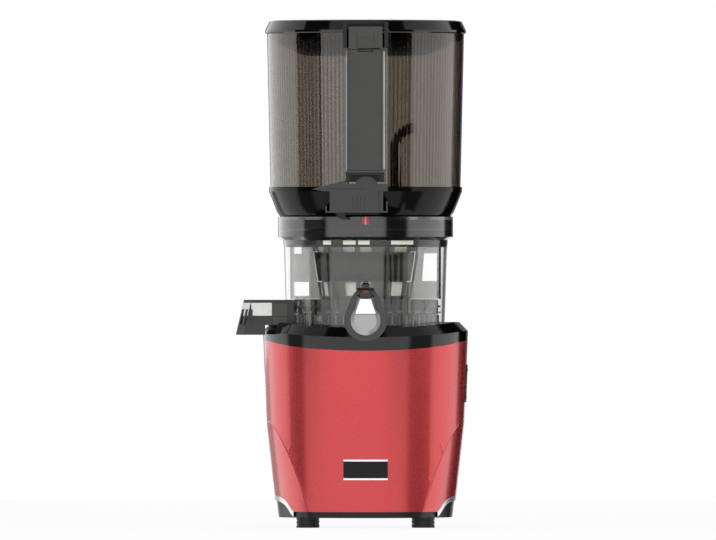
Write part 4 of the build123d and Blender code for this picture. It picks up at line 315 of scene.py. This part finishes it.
def relief(net, source, strength, depth, shader):
    """Fine bumps of that depth in metres on the shader's surface."""
    bumps = net.nodes.new("ShaderNodeBump")
    bumps.inputs["Strength"].default_value = strength
    bumps.inputs["Distance"].default_value = depth
    net.links.new(source, bumps.inputs["Height"])
    net.links.new(bumps.outputs["Normal"], shader.inputs["Normal"])


def finish(name, colour, roughness, grain=0.15, size=2200.0, metal=0.0, coat=0.0, tone=0.12, shine=0.5):
    """A moulded or painted surface: faint clouding of its colour, uneven gloss and a fine grain."""
    made = bpy.data.materials.new(name)
    made.use_nodes = True
    net = made.node_tree
    shader = net.nodes["Principled BSDF"]
    shader.inputs["Metallic"].default_value = metal
    shader.inputs["Coat Weight"].default_value = coat
    shader.inputs["Coat Roughness"].default_value = 0.08
    shader.inputs["Specular IOR Level"].default_value = shine
    where = net.nodes.new("ShaderNodeTexCoord").outputs["Object"]
    shades = net.nodes.new("ShaderNodeValToRGB")
    shades.color_ramp.elements[0].position = 0.3
    shades.color_ramp.elements[0].color = tuple(c * (1 - tone) for c in colour) + (1.0,)
    shades.color_ramp.elements[1].position = 0.7
    shades.color_ramp.elements[1].color = tuple(min(1.0, c * (1 + tone)) for c in colour) + (1.0,)
    net.links.new(mottle(net, where, 26.0, detail=4.0), shades.inputs["Fac"])
    net.links.new(shades.outputs["Color"], shader.inputs["Base Color"])
    rub = mottle(net, where, 140.0, detail=6.0)
    net.links.new(spread(net, rub, roughness * 0.85, roughness * 1.15), shader.inputs["Roughness"])
    relief(net, mottle(net, where, size), grain, 0.0001, shader)
    return made


red_paint = finish(
    "red_flake_paint", (0.53, 0.042, 0.046), 0.27, grain=0.02, size=3500.0, metal=0.7, coat=0.5, tone=0.02
)
housing = piece_from("motor_housing", "base", red_paint, "red_satin", corner=7.0)

# Crease of each hollowed flank: a fine rolled groove that the tool leaves along
# the slanted edge, deep at its top and running out towards the corner.
crease_width = 0.0009
crease_depth = 0.0008
crease_low = 0.0165
crease_high = 0.125
crease_least_bend = 4.0
crease_most_bend = 35.0
crease_slant = 0.12
crease_fades_from = 0.03
crease_fades_over = 0.04
crease_shallowest = 0.25
creased = bmesh.new()
creased.from_mesh(housing.data)
crease_lines = []
for line in creased.edges:
    middle = (line.verts[0].co + line.verts[1].co) / 2
    across = abs(line.verts[0].co.x - line.verts[1].co.x) / max(line.calc_length(), 1e-9)
    bent = math.degrees(line.calc_face_angle(0.0)) if len(line.link_faces) == 2 else 0.0
    slanted = crease_least_bend < bent < crease_most_bend and across > crease_slant
    if slanted and crease_low < middle.z < crease_high:
        crease_lines.append(line)
rolled = bmesh.ops.bevel(
    creased, geom=crease_lines, offset=crease_width, segments=2, profile=0.5, affect="EDGES", material=-1
)
rolled_faces = set(rolled["faces"])
for vert in rolled["verts"]:
    if all(face in rolled_faces for face in vert.link_faces):
        fading = min(1.0, max(crease_shallowest, (vert.co.z - crease_fades_from) / crease_fades_over))
        vert.co -= vert.normal * crease_depth * fading
for line in creased.edges:
    inside_groove = sum(face in rolled_faces for face in line.link_faces)
    if inside_groove:
        line.smooth = inside_groove == 2
creased.to_mesh(housing.data)
creased.free()

# Top cover: gloss black ABS, pressed on to the housing, with the seat for the
# drum in its deck.
gloss_black = finish("gloss_black_plastic", (0.003, 0.003, 0.003), 0.06, grain=0.02)
piece_from("top_cover", "base", gloss_black, "gloss_black", corner=15.0)

# Base plate and feet: black moulded plate with four turned rubber feet, each
# held by a steel screw up its middle.
satin_black = finish("satin_black_plastic", (0.01, 0.01, 0.01), 0.3, grain=0.3, shine=0.25)
foot_rubber = finish("foot_rubber", (0.01, 0.01, 0.01), 0.5, grain=0.5, size=1500.0, shine=0.3)
turned_steel = finish("turned_steel", (0.62, 0.62, 0.63), 0.25, grain=0.1, metal=1.0)
piece_from("base_plate", "base", satin_black, "black_plastic")
piece_from("rubber_feet", "base", foot_rubber, "rubber")
piece_from("base_screws", "base", turned_steel, "steel")

# Corner trims: satin silver strips let into the black corners under the
# hollowed flanks.
satin_silver = finish("satin_silver", (0.74, 0.74, 0.75), 0.26, grain=0.06, metal=0.9, tone=0.03)
piece_from("corner_trim_left", "base", satin_silver, "silver")
piece_from("corner_trim_right", "base", satin_silver, "silver")

# Badge: a bare dark plate glued to the front, with a bright line along its
# upper and lower edge.
badge_face = finish("badge_dark_face", (0.012, 0.013, 0.014), 0.3, grain=0.1, shine=0.12)
badge_bright = finish("badge_bright_lines", (0.88, 0.88, 0.88), 0.2, metal=0.6, tone=0.02)
piece_from("badge_plate", "base", badge_face, "black_plastic")
piece_from("badge_lines", "base", badge_bright, "silver")

# Rocker switch: black nylon frame snapped into the right flank, with a gloss
# rocker on its pin.
piece_from("switch_bezel", "base", satin_black, "black_plastic")
piece_from("switch_rocker", "rocker", gloss_black, "gloss_black")

# Cord inlet: a black nylon gland for the power cord, screwed into the back
# wall of the housing.
piece_from("cord_gland", "base", satin_black, "black_plastic")

# Juicing drum: clear copolyester, injection moulded and polished, that stands
# in the deck's seat and is held there by its bayonet ring.


def clear_resin(name, tint, haze, haze_share, bend=1.45, polish=0.0, lines=0, rough=0.03):
    """Polished see-through resin, which lamps shine through, with that many fine upright lines of painted
    shade and painted highlight in its tint if any.
    """
    made = bpy.data.materials.new(name)
    made.use_nodes = True
    net = made.node_tree
    shader = net.nodes["Principled BSDF"]
    shader.inputs["Base Color"].default_value = tint + (1.0,)
    shader.inputs["Roughness"].default_value = rough
    shader.inputs["IOR"].default_value = bend
    shader.inputs["Coat Weight"].default_value = polish
    shader.inputs["Coat Roughness"].default_value = rough
    shader.inputs["Transmission Weight"].default_value = 1.0
    body = net.nodes.new("ShaderNodeBsdfDiffuse")
    body.inputs["Color"].default_value = haze + (1.0,)
    where = net.nodes.new("ShaderNodeTexCoord").outputs["Object"]
    hazy = spread(net, mottle(net, where, 60.0), haze_share * 0.8, haze_share * 1.2)
    cloudy = blend(net, hazy, shader.outputs[0], body.outputs[0])
    ray_kind = net.nodes.new("ShaderNodeLightPath")
    lit = reckon(net, "MAXIMUM", ray_kind.outputs["Is Shadow Ray"], ray_kind.outputs["Is Diffuse Ray"])
    through = net.nodes.new("ShaderNodeBsdfTransparent")
    through.inputs["Color"].default_value = tuple(math.sqrt(c) for c in tint) + (1.0,)
    whole = blend(net, lit, cloudy, through.outputs[0])
    net.links.new(whole, net.nodes["Material Output"].inputs["Surface"])
    # Lines: the tint is painted darker and lighter in upright waves round the axis, as painted shade and
    # painted highlight of flutes, and the same waves give a faint bump.
    if lines:
        turn = net.nodes.new("ShaderNodeTexGradient")
        turn.gradient_type = "RADIAL"
        net.links.new(where, turn.inputs["Vector"])
        swing = reckon(net, "SINE", reckon(net, "MULTIPLY", turn.outputs["Fac"], 2.0 * math.pi * lines))
        fine = net.nodes.new("ShaderNodeTexNoise")
        fine.noise_dimensions = "1D"
        fine.inputs["Scale"].default_value = 1.7 * lines
        net.links.new(turn.outputs["Fac"], fine.inputs["W"])
        uneven = reckon(net, "MULTIPLY", swing, fine.outputs["Fac"])
        shade = net.nodes.new("ShaderNodeMapRange")
        shade.inputs["From Min"].default_value = -0.5
        shade.inputs["From Max"].default_value = 0.5
        net.links.new(uneven, shade.inputs["Value"])
        flute_light_and_shade = net.nodes.new("ShaderNodeMix")
        flute_light_and_shade.data_type = "RGBA"
        flute_light_and_shade.inputs["A"].default_value = tuple(c * 0.55 for c in tint) + (1.0,)
        flute_light_and_shade.inputs["B"].default_value = tuple(min(1.0, c * 1.35) for c in tint) + (1.0,)
        net.links.new(shade.outputs["Result"], flute_light_and_shade.inputs["Factor"])
        net.links.new(flute_light_and_shade.outputs["Result"], shader.inputs["Base Color"])
        relief(net, uneven, 0.5, 0.00004, shader)
    return made


drum_resin = clear_resin(
    "clear_drum_resin", (0.95, 0.955, 0.95), (0.3, 0.3, 0.3), 0.01, bend=1.05, polish=1.0
)
piece_from("bowl", "drum", drum_resin, "clear")

# Pulp spout: dark smoky resin welded to the drum's side, with a silicone flap
# hung in its mouth.
dark_resin = finish("dark_grey_resin", (0.035, 0.036, 0.036), 0.22, grain=0.05)
flap_silicone = finish("dark_silicone", (0.03, 0.03, 0.03), 0.5, grain=0.2)
spout_matt = finish("spout_matt_end", (0.014, 0.014, 0.014), 0.5, grain=0.2, shine=0.05)
spout_shell = piece_from("pulp_spout", "drum", dark_resin, "dark_grey")
spout_shell.data.materials.append(spout_matt)
for face in spout_shell.data.polygons:
    faces_outwards = face.normal.x < -0.85
    if faces_outwards:
        face.material_index = 1
piece_from("pulp_flap", "flap", flap_silicone, "silicone")

# Spout panes: milky clear sheets welded into both sides and the outer end, and
# smoky ones on the neck. Black ribs brace the end, two on it and one each side.
spout_turn = math.radians(194.0)
spout_along = Vector((math.cos(spout_turn), math.sin(spout_turn), 0.0))
spout_across = Vector((-spout_along.y, spout_along.x, 0.0))
spout_axes = Matrix((spout_along, spout_across, Vector((0.0, 0.0, 1.0)))).transposed().to_4x4()
spout_lean = 8.4 / 35.2
spout_top = 0.229
spout_end = 0.1223 + spout_top * spout_lean
spout_side = 0.016
window_inner = 0.101
window_outer = 0.1225
window_low = 0.213
window_high = 0.226
rib_low = 0.2047
rib_high = 0.2195


def blocks(name, boxes, material, body, slot, axes=None, lean=0.0, edge=0.0002):
    """One piece of rounded boxes, each from its lowest to its highest corner along the axes given."""
    form = bmesh.new()
    for low, high in boxes:
        size = Vector(high) - Vector(low)
        place = Matrix.Translation((Vector(low) + Vector(high)) / 2) @ Matrix.Diagonal(size.to_4d())
        grown = bmesh.ops.create_cube(form, size=1.0, matrix=place)["verts"]
        lines = list({line for vert in grown for line in vert.link_edges})
        bmesh.ops.bevel(form, geom=lines, offset=edge, segments=1, profile=0.5, affect="EDGES", material=-1)
    for vert in form.verts:
        vert.co.x -= vert.co.z * lean
    if axes:
        bmesh.ops.transform(form, matrix=axes, verts=form.verts)
    bmesh.ops.recalc_face_normals(form, faces=form.faces)
    return set_up(name, form, body, slot, material)


window_milk = clear_resin("milky_window_resin", (0.92, 0.92, 0.9), (0.85, 0.85, 0.82), 0.85, bend=1.3)
neck_smoke = finish("spout_neck_smoke", (0.06, 0.06, 0.057), 0.25, grain=0.05)
panes = blocks(
    "spout_panes",
    [
        ((window_inner, left, window_low), (window_outer, right, window_high))
        for left, right in ((-0.0162, -0.0148), (0.0148, 0.0162))
    ],
    window_milk,
    "drum",
    "clear",
    axes=spout_axes,
)
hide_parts("spout_window")
blocks(
    "spout_end_pane",
    [((spout_end - 0.0012, -0.0140, window_low), (spout_end + 0.00025, 0.0155, window_high))],
    window_milk,
    "drum",
    "clear",
    axes=spout_axes,
    lean=spout_lean,
)
blocks(
    "spout_neck_panes",
    [
        ((0.0855, side - 0.0002, low), (0.1000, side + 0.0002, high))
        for side in (-spout_side, spout_side)
        for low, high in ((0.2125, 0.2255), (0.2045, 0.2118))
    ],
    neck_smoke,
    "drum",
    "dark_grey",
    axes=spout_axes,
    edge=0.0001,
)
blocks(
    "spout_end_ribs",
    [
        ((spout_end - 0.001, across - 0.0015, rib_low), (spout_end + 0.0021, across + 0.0015, rib_high))
        for across in (-0.005, 0.0115)
    ],
    flap_silicone,
    "drum",
    "silicone",
    axes=spout_axes,
    lean=spout_lean,
)
blocks(
    "spout_side_ribs",
    [
        ((0.1213, side - 0.0009, rib_low), (0.1240, side + 0.0009, rib_high))
        for side in (-spout_side, spout_side)
    ],
    flap_silicone,
    "drum",
    "silicone",
    axes=spout_axes,
)

# Juice nozzle and cap: dark pear-shaped face round the outlet, and a lever cap
# in satin silver with a silicone plug on a cross pin.
cap_silver = finish("cap_satin_silver", (0.34, 0.34, 0.345), 0.3, grain=0.05, metal=0.75, tone=0.03)
cap_bright = finish("cap_bright_facet", (0.88, 0.88, 0.88), 0.2, grain=0.03, metal=0.6, tone=0.02)
cap_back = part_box("juice_cap")[1].y
nozzle_face = piece_from("juice_nozzle", "drum", dark_resin, "dark_grey")
nozzle_face.data.materials.append(gloss_black)
for face in nozzle_face.data.polygons:
    if face.center.y < cap_back:
        face.material_index = 1

shield_radius = 0.0153
shield_level = 0.2085
shield_steps = ((0.0042, 0.975), (0.0016, 0.8), (0.0004, 0.93))
facing = Matrix.Rotation(math.pi / 2, 4, "X")
cap_form = bmesh.new()
bmesh.ops.create_circle(
    cap_form,
    cap_ends=True,
    segments=64,
    radius=shield_radius,
    matrix=Matrix.Translation((0.0, cap_back, shield_level)) @ facing,
)
front = list(cap_form.faces)
for step, (forward, across) in enumerate(shield_steps):
    grown = bmesh.ops.extrude_face_region(cap_form, geom=front)["geom"]
    if step:
        bmesh.ops.delete(cap_form, geom=front, context="FACES_KEEP_BOUNDARY")
    front = [part for part in grown if isinstance(part, bmesh.types.BMFace)]
    rim = [part for part in grown if isinstance(part, bmesh.types.BMVert)]
    bmesh.ops.translate(cap_form, verts=rim, vec=(0.0, -forward, 0.0))
    bmesh.ops.scale(
        cap_form, verts=rim, vec=(across, 1.0, across), space=Matrix.Translation((0.0, 0.0, -shield_level))
    )

# Lever facet of the cap: a tapered block above the shield, with a bright
# chromed panel let into its front, proud at its foot and lower at its head.
facet_back = [
    cap_form.verts.new((x, cap_back, z))
    for x, z in ((-0.0128, 0.2120), (0.0128, 0.2120), (0.0078, 0.2325), (-0.0078, 0.2325))
]
facet_middle = 0.22
facet_foot = (0.0106, 0.0078, 0.2149)
facet_head = (0.0053, 0.0064, 0.2306)
facet_root = cap_form.faces.new(facet_back)
grown = bmesh.ops.extrude_face_region(cap_form, geom=[facet_root])["geom"]
facet = [part for part in grown if isinstance(part, bmesh.types.BMFace)][0]
for vert in facet.verts:
    half_width, forward, level = facet_foot if vert.co.z < facet_middle else facet_head
    vert.co = (math.copysign(half_width, vert.co.x), cap_back - forward, level)
bmesh.ops.inset_region(cap_form, faces=[facet], thickness=0.0007, depth=0.0)
facet.material_index = 1
bmesh.ops.recalc_face_normals(cap_form, faces=cap_form.faces)
for face in cap_form.faces:
    face.smooth = False
cap_piece = set_up("cap_shield", cap_form, "cap", "silver", cap_silver, cap_bright)
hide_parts("juice_cap")

# Knuckle, arm and stop of the cap: black nylon, moulded in one with the lever
# and snapped on the cross pin under the nozzle's knob.
knuckle_radius = 0.0038
knuckle_level = 0.237
arm_half = 0.0052
knuckle_form = bmesh.new()
bmesh.ops.create_cone(
    knuckle_form,
    cap_ends=True,
    segments=32,
    radius1=knuckle_radius,
    radius2=knuckle_radius,
    depth=2 * arm_half,
    matrix=Matrix.Translation((0.0, cap_back - 0.0039, knuckle_level)) @ Matrix.Rotation(math.pi / 2, 4, "Y"),
)
knuckle = set_up("cap_knuckle", knuckle_form, "cap", "black_plastic", gloss_black)
knuckle.data.shade_smooth()
knuckle.data.set_sharp_from_angle(angle=math.radians(40.0))
blocks(
    "cap_arm",
    [((-arm_half, cap_back - 0.0066, 0.2295), (arm_half, cap_back - 0.0002, knuckle_level))],
    gloss_black,
    "cap",
    "black_plastic",
    edge=0.0005,
)
stop_red = finish("cap_stop_dark_red", (0.16, 0.012, 0.012), 0.35)
blocks(
    "cap_stop",
    [((-0.0030, cap_back - 0.0080, 0.2358), (0.0030, cap_back - 0.0060, 0.2386))],
    stop_red,
    "cap",
    "red_mark",
)
blocks(
    "nozzle_knob",
    [((-0.0044, -0.1128, 0.2385), (0.0044, -0.1066, 0.2463))],
    gloss_black,
    "drum",
    "black_plastic",
    edge=0.0018,
)
piece_from("cap_seal", "cap", flap_silicone, "silicone")
piece_from("cap_pin", "drum", satin_black, "black_plastic")

# Bowl channel: a smoky ring with upright ribs, studs and posts that stands on
# the drum's floor and leads the juice to the outlet, and the bowl's floor seal.


def ring_wall(name, inner, outer, low, high, material, body, slot, taper=0.0):
    """One turned wall from low to high, narrower by taper of its radius for each metre below its top."""
    broad = 2e-5
    form = bmesh.new()
    edge = bmesh.ops.create_circle(form, segments=144, radius=inner)["verts"]
    bmesh.ops.translate(form, verts=edge, vec=(0.0, 0.0, low))
    first = list(form.edges)
    loop = first
    for rise, across in ((0.0, outer / inner), (high - low, 1.0), (0.0, inner / outer)):
        grown = bmesh.ops.extrude_edge_only(form, edges=loop)["geom"]
        loop = [part for part in grown if isinstance(part, bmesh.types.BMEdge) and len(part.link_faces) == 1]
        moved = list({vert for line in loop for vert in line.verts})
        bmesh.ops.translate(form, verts=moved, vec=(0.0, 0.0, rise))
        bmesh.ops.scale(form, verts=moved, vec=(across, across, 1.0))
    bmesh.ops.bridge_loops(form, edges=first + loop)
    for vert in form.verts:
        narrowed = 1.0 - (high - vert.co.z) * taper
        vert.co.x *= narrowed
        vert.co.y *= narrowed
    bmesh.ops.recalc_face_normals(form, faces=form.faces)
    for face in form.faces:
        face.smooth = len(face.verts) == 4 and abs(face.normal.z) < 0.5 and face.calc_area() > broad
    return set_up(name, form, body, slot, material)


piece_from("bowl_seal", "drum", flap_silicone, "silicone")
cage_grey = finish("strainer_cage_black", (0.014, 0.013, 0.011), 0.3)
channel_smoke = clear_resin(
    "channel_smoke_resin", (0.42, 0.42, 0.4), (0.12, 0.12, 0.115), 0.45, bend=1.2, polish=0.6
)
# Ribs and studs: their pale grey is painted highlight, the glints along the channel's ribs and under its rim.
channel_painted_highlight = finish("channel_ribs_painted_highlight", (0.2, 0.2, 0.195), 0.25, grain=0.05)
ring_wall("bowl_channel_wall", 0.0700, 0.0712, 0.2034, 0.2297, channel_smoke, "drum", "smoky")
for name, material, count, inner, outer, low, high, wide in (
    ("channel_ribs", channel_painted_highlight, 56, 0.0713, 0.0742, 0.2045, 0.2140, 0.0009),
    ("channel_studs", channel_painted_highlight, 44, 0.0750, 0.0762, 0.2160, 0.2171, 0.0030),
    ("channel_posts", cage_grey, 18, 0.0713, 0.0736, 0.2145, 0.2290, 0.0014),
):
    standing = bmesh.new()
    size = Matrix.Diagonal((outer - inner, wide, high - low, 1.0))
    place = Matrix.Translation(((inner + outer) / 2, 0.0, (low + high) / 2))
    for turn in range(count):
        spin = Matrix.Rotation(2 * math.pi * (turn + 0.3) / count, 4, "Z")
        bmesh.ops.create_cube(standing, size=1.0, matrix=spin @ place @ size)
    set_up(name, standing, "drum", "smoky", material)
ring_wall("bowl_channel_rim", 0.0690, 0.0755, 0.2215, 0.2235, channel_smoke, "drum", "smoky")

# Strainer: black moulded cage with fine beige mesh welded in its windows, and
# a rim and a slotted band with which it hangs in the bowl's mouth.
ring_wall("strainer_rim", 0.0752, 0.0786, 0.2872, 0.2915, satin_black, "drum", "black_plastic")
ring_wall("strainer_band", 0.0789, 0.0794, 0.2842, 0.2891, satin_black, "drum", "black_plastic")
mesh_beige = finish("strainer_mesh_beige", (0.95, 0.92, 0.78), 0.5, grain=0.4, size=1200.0)
band_radius = 0.0795
slot_level = 0.2866
slots = bmesh.new()
for left, right in (
    (-0.0425, -0.0347),
    (-0.0225, -0.0162),
    (-0.0162, -0.0100),
    (-0.0074, 0.0040),
    (0.0256, 0.0366),
    (0.0366, 0.0477),
):
    bearing = math.asin((left + right) / 2 / band_radius)
    size = Matrix.Diagonal(((right - left) / math.cos(bearing), 0.0004, 0.0040, 1.0))
    place = Matrix.Translation((0.0, -band_radius, slot_level))
    bmesh.ops.create_cube(slots, size=1.0, matrix=Matrix.Rotation(bearing, 4, "Z") @ place @ size)
set_up("strainer_band_slots", slots, "drum", "mesh", mesh_beige)
cage_turn = math.radians(-9.5)
strainer_cage = piece_from("strainer_frame", "drum", cage_grey, "black_plastic")
strainer_cage.data.transform(Matrix.Rotation(cage_turn, 4, "Z"))
piece_from("strainer_mesh", "drum", mesh_beige, "mesh")

# Wiper basket: smoky clear cage with ring gear and two wings, which carry
# silicone blades. Pale bracket-shaped bars at each side of its middle are
# painted highlights, the bright edges of the wings.
basket_resin = clear_resin(
    "smoky_basket_resin", (0.26, 0.26, 0.25), (0.08, 0.08, 0.08), 0.03, bend=1.05, polish=0.6
)
piece_from("wiper_basket", "basket", basket_resin, "smoky")
piece_from("wiper_blades", "basket", flap_silicone, "silicone")
# The bars' pale grey is painted highlight, not a colour of the basket.
ledge_painted_highlight = finish("wing_edge_painted_highlight", (0.72, 0.72, 0.70), 0.25, grain=0.05)
basket_lean = 0.1447
ledge_front = -0.0300
ledge_back = -0.0240
ledge_low = 0.2470
ledge_high = 0.2780
ledge_thick = 0.0011
ledge_reach = 0.0046
for name, side, foot_x in (("wing_edge_highlight_left", -1, -0.01226), ("wing_edge_highlight_right", 1, 0.00986)):
    inner_x, outer_x = sorted((foot_x - side * ledge_reach, foot_x + side * 0.0004))
    blocks(
        name,
        [
            ((foot_x - 0.0006, ledge_front, ledge_low), (foot_x + 0.0006, -0.0286, ledge_high)),
            ((inner_x, ledge_front, ledge_high - ledge_thick), (outer_x, ledge_back, ledge_high)),
            ((inner_x, ledge_front, ledge_low), (outer_x, ledge_back, ledge_low + ledge_thick)),
        ],
        ledge_painted_highlight,
        "basket",
        "smoky",
        lean=-side * basket_lean,
    )

# Screen band: a thin dark cone of fine mesh, clipped round the middle of the
# wiper basket between its two rows of windows.
screen_brown = finish("screen_dark_brown", (0.012, 0.011, 0.008), 0.5, grain=0.05, shine=0.2)
ring_wall(
    "wiper_screen", 0.0527, 0.0533, 0.2482, 0.2768, screen_brown, "basket", "black_plastic", taper=2.705
)

# Idler gear: black nylon wheel on a stub in the drum's floor, which turns the
# basket against the auger.
piece_from("idler_gear", "idler", satin_black, "black_plastic")

# Auger and cutting screw: glass-filled black plastic, moulded round a steel
# hexagonal pin.
auger_plastic = finish("auger_black_plastic", (0.015, 0.015, 0.015), 0.28)
piece_from("auger", "auger_set", auger_plastic, "black_plastic")
piece_from("auger_pin", "auger_set", turned_steel, "steel")
piece_from("cutting_screw", "auger_set", auger_plastic, "black_plastic")

# Collar ring: smoky resin with lugs inside, which clamps the hopper to the
# drum when it is turned.
collar_resin = clear_resin(
    "smoky_collar_resin", (0.16, 0.16, 0.155), (0.04, 0.04, 0.04), 0.1, bend=1.5, polish=0.7, rough=0.12
)
piece_from("collar_ring", "hopper", collar_resin, "smoky")

# Hopper base: gloss black moulded cone that narrows to the throat and is
# welded under the hopper's wall.
cone_black = finish("cone_gloss_black", (0.003, 0.003, 0.003), 0.08, grain=0.02, shine=0.15)
piece_from("hopper_base", "hopper", cone_black, "gloss_black", corner=15.0)

# Hopper body: a tall drum of smoky brown resin, smooth outside, with fine
# upright flutes moulded all round its inner face.
flutes = 144
# The resin's upright lines are painted shade and painted highlight standing for the light the inner flutes
# break up.
hopper_resin = clear_resin(
    "smoky_hopper_resin", (0.33, 0.298, 0.262), (0.16, 0.145, 0.125), 0.01, bend=1.55, lines=flutes
)
flute_depth = 0.00006
wall_low, wall_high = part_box("hopper_body")
foot_radius = 0.0958
top_radius = 0.0993
hopper_wall = 0.0022
tub = bmesh.new()
bmesh.ops.create_circle(tub, segments=4 * flutes, radius=foot_radius)
bmesh.ops.translate(tub, verts=tub.verts, vec=(0.0, 0.0, wall_low.z))
loop = list(tub.edges)
for rise, across in (
    (wall_high.z - wall_low.z, top_radius / foot_radius),
    (0.0, (top_radius - hopper_wall) / top_radius),
    (wall_low.z - wall_high.z, (foot_radius - hopper_wall) / (top_radius - hopper_wall)),
):
    grown = bmesh.ops.extrude_edge_only(tub, edges=loop)["geom"]
    loop = [part for part in grown if isinstance(part, bmesh.types.BMEdge) and len(part.link_faces) == 1]
    edge_verts = list({vert for line in loop for vert in line.verts})
    bmesh.ops.translate(tub, verts=edge_verts, vec=(0.0, 0.0, rise))
    bmesh.ops.scale(tub, verts=edge_verts, vec=(across, across, 1.0))
bmesh.ops.bridge_loops(tub, edges=[line for line in tub.edges if len(line.link_faces) == 1])
flare = (top_radius - foot_radius) / (wall_high.z - wall_low.z)
for vert in tub.verts:
    turn = math.atan2(vert.co.y, vert.co.x) * flutes
    out = math.hypot(vert.co.x, vert.co.y)
    wall_here = foot_radius + flare * (vert.co.z - wall_low.z)
    if out < wall_here - hopper_wall / 2:
        grown_out = 1.0 + flute_depth * (0.5 + 0.5 * math.cos(turn)) / out
        vert.co.x *= grown_out
        vert.co.y *= grown_out
bmesh.ops.recalc_face_normals(tub, faces=tub.faces)
for face in tub.faces:
    face.smooth = abs(face.normal.z) < 0.5
for line in tub.edges:
    line.smooth = line.calc_face_angle(0.0) < math.radians(40.0)
tub_piece = set_up("hopper_wall", tub, "hopper", "smoky", hopper_resin)
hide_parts("hopper_body")

# Front column, its foot and the latch box: dark grey satin mouldings that carry
# the safety rod and the lock.
column_grey = finish("column_dark_grey", (0.027, 0.0265, 0.025), 0.32, grain=0.2)
piece_from("front_column", "hopper", column_grey, "dark_grey", edge=0.0005)
piece_from("column_bracket", "hopper", satin_black, "dark_grey")
latch_grey = finish("latch_dark_grey", (0.021, 0.021, 0.022), 0.32, grain=0.2)
piece_from("latch_box", "hopper", latch_grey, "black_plastic", edge=0.0004)
piece_from("locking_lever", "lever", satin_black, "black_plastic")
piece_from("safety_rod", "rod", satin_black, "black_plastic")
# Pale strips beside the column's face: upright rails whose pale colour is painted highlight, the light their
# rounded edges catch.
column_strip_highlight = finish("column_strip_painted_highlight", (0.42, 0.42, 0.41), 0.25, grain=0.1)
strip_low = 0.3600
strip_high = 0.4785
blocks(
    "column_highlight_strips",
    [
        ((-0.01915, -0.1066, strip_low), (-0.01650, -0.0960, strip_high)),
        ((0.01680, -0.1066, strip_low), (0.01930, -0.0955, strip_high)),
    ],
    column_strip_highlight,
    "hopper",
    "dark_grey",
    edge=0.0004,
)
blocks(
    "column_seams",
    [
        ((side - 0.0004, -0.10910, strip_low - 0.001), (side + 0.0004, -0.1060, strip_high))
        for side in (-0.0160, 0.0160)
    ],
    gloss_black,
    "hopper",
    "black_plastic",
    edge=0.0001,
)
bracket_low, bracket_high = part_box("column_bracket")
# A black plate behind the bracket's open cheeks: painted shade, darkening what would show through them.
blocks(
    "bracket_painted_shade",
    [((bracket_low.x + 0.001, -0.0990, 0.3474), (bracket_high.x - 0.001, -0.0952, 0.3545))],
    satin_black,
    "hopper",
    "black_plastic",
)
# A grey line along the bracket plate's top edge: painted highlight where the black edge catches the light.
bracket_top_highlight = finish("bracket_top_painted_highlight", (0.06, 0.06, 0.059), 0.3, grain=0.1)
blocks(
    "bracket_edge",
    [((bracket_low.x, bracket_low.y - 0.0002, 0.3570), (bracket_high.x, bracket_low.y + 0.002, 0.3582))],
    bracket_top_highlight,
    "hopper",
    "dark_grey",
)

# Alignment mark: two red strips with a pale one between them, let into the
# collar under a black cap strip.
mark_low, mark_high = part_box("alignment_mark")
mark_foot = 0.3045
mark_head = 0.3125
mark_red = finish("mark_red", (0.55, 0.04, 0.035), 0.4)
mark_pale = finish("mark_pale", (0.5, 0.4, 0.38), 0.4)
mark_strips = blocks(
    "mark_red_strips",
    [
        ((left, mark_low.y, mark_foot), (left + 0.0025, mark_high.y, mark_head))
        for left in (-0.0035, 0.0010)
    ],
    mark_red,
    "hopper",
    "red_mark",
)
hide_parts("alignment_mark")
blocks(
    "mark_pale_strip",
    [((-0.0009, mark_low.y + 0.0001, mark_foot), (0.0009, mark_high.y, mark_head))],
    mark_pale,
    "hopper",
    "red_mark",
)

# Lid, its hinge and latch: gloss black mouldings, steel hinge pin, silicone
# seal under the rim.
piece_from("hinge_block", "hopper", gloss_black, "black_plastic")
piece_from("hinge_pin", "hopper", turned_steel, "steel")
piece_from("lid", "lid_set", gloss_black, "gloss_black", corner=15.0)
liner_resin = clear_resin("smoky_liner_resin", (0.3, 0.3, 0.29), (0.05, 0.05, 0.05), 0.4)
piece_from("lid_liner", "lid_set", liner_resin, "smoky")
piece_from("lid_seal", "lid_set", flap_silicone, "silicone")
piece_from("latch_frame", "lid_set", satin_black, "gloss_black", edge=0.0006)
piece_from("lid_latch", "latch", column_grey, "gloss_black")

# Motor, gearbox and board: steel core, shafts and gears, one nylon wheel and a
# lacquered board, screwed inside the base and seen only when it is opened.
core_steel = finish("core_sheet_steel", (0.3, 0.31, 0.33), 0.45, metal=0.8)
gear_nylon = finish("gear_nylon", (0.8, 0.78, 0.7), 0.4)
board_green = finish("board_green_lacquer", (0.03, 0.17, 0.07), 0.3)
for node, inner_finish in (
    ("motor_can", turned_steel),
    ("stator_core", core_steel),
    ("rotor_core", core_steel),
    ("motor_bearings", turned_steel),
    ("motor_mounts", foot_rubber),
    ("motor_shaft", turned_steel),
    ("cooling_fan", satin_black),
    ("gearbox_case", satin_black),
    ("gearbox_cover", satin_black),
    ("layshaft", turned_steel),
    ("layshaft_gear", gear_nylon),
    ("output_gear", turned_steel),
    ("drive_shaft", turned_steel),
    ("shaft_seal", flap_silicone),
    ("control_board", board_green),
):
    for material_slot in nodes[node].material_slots:
        material_slot.material = inner_finish
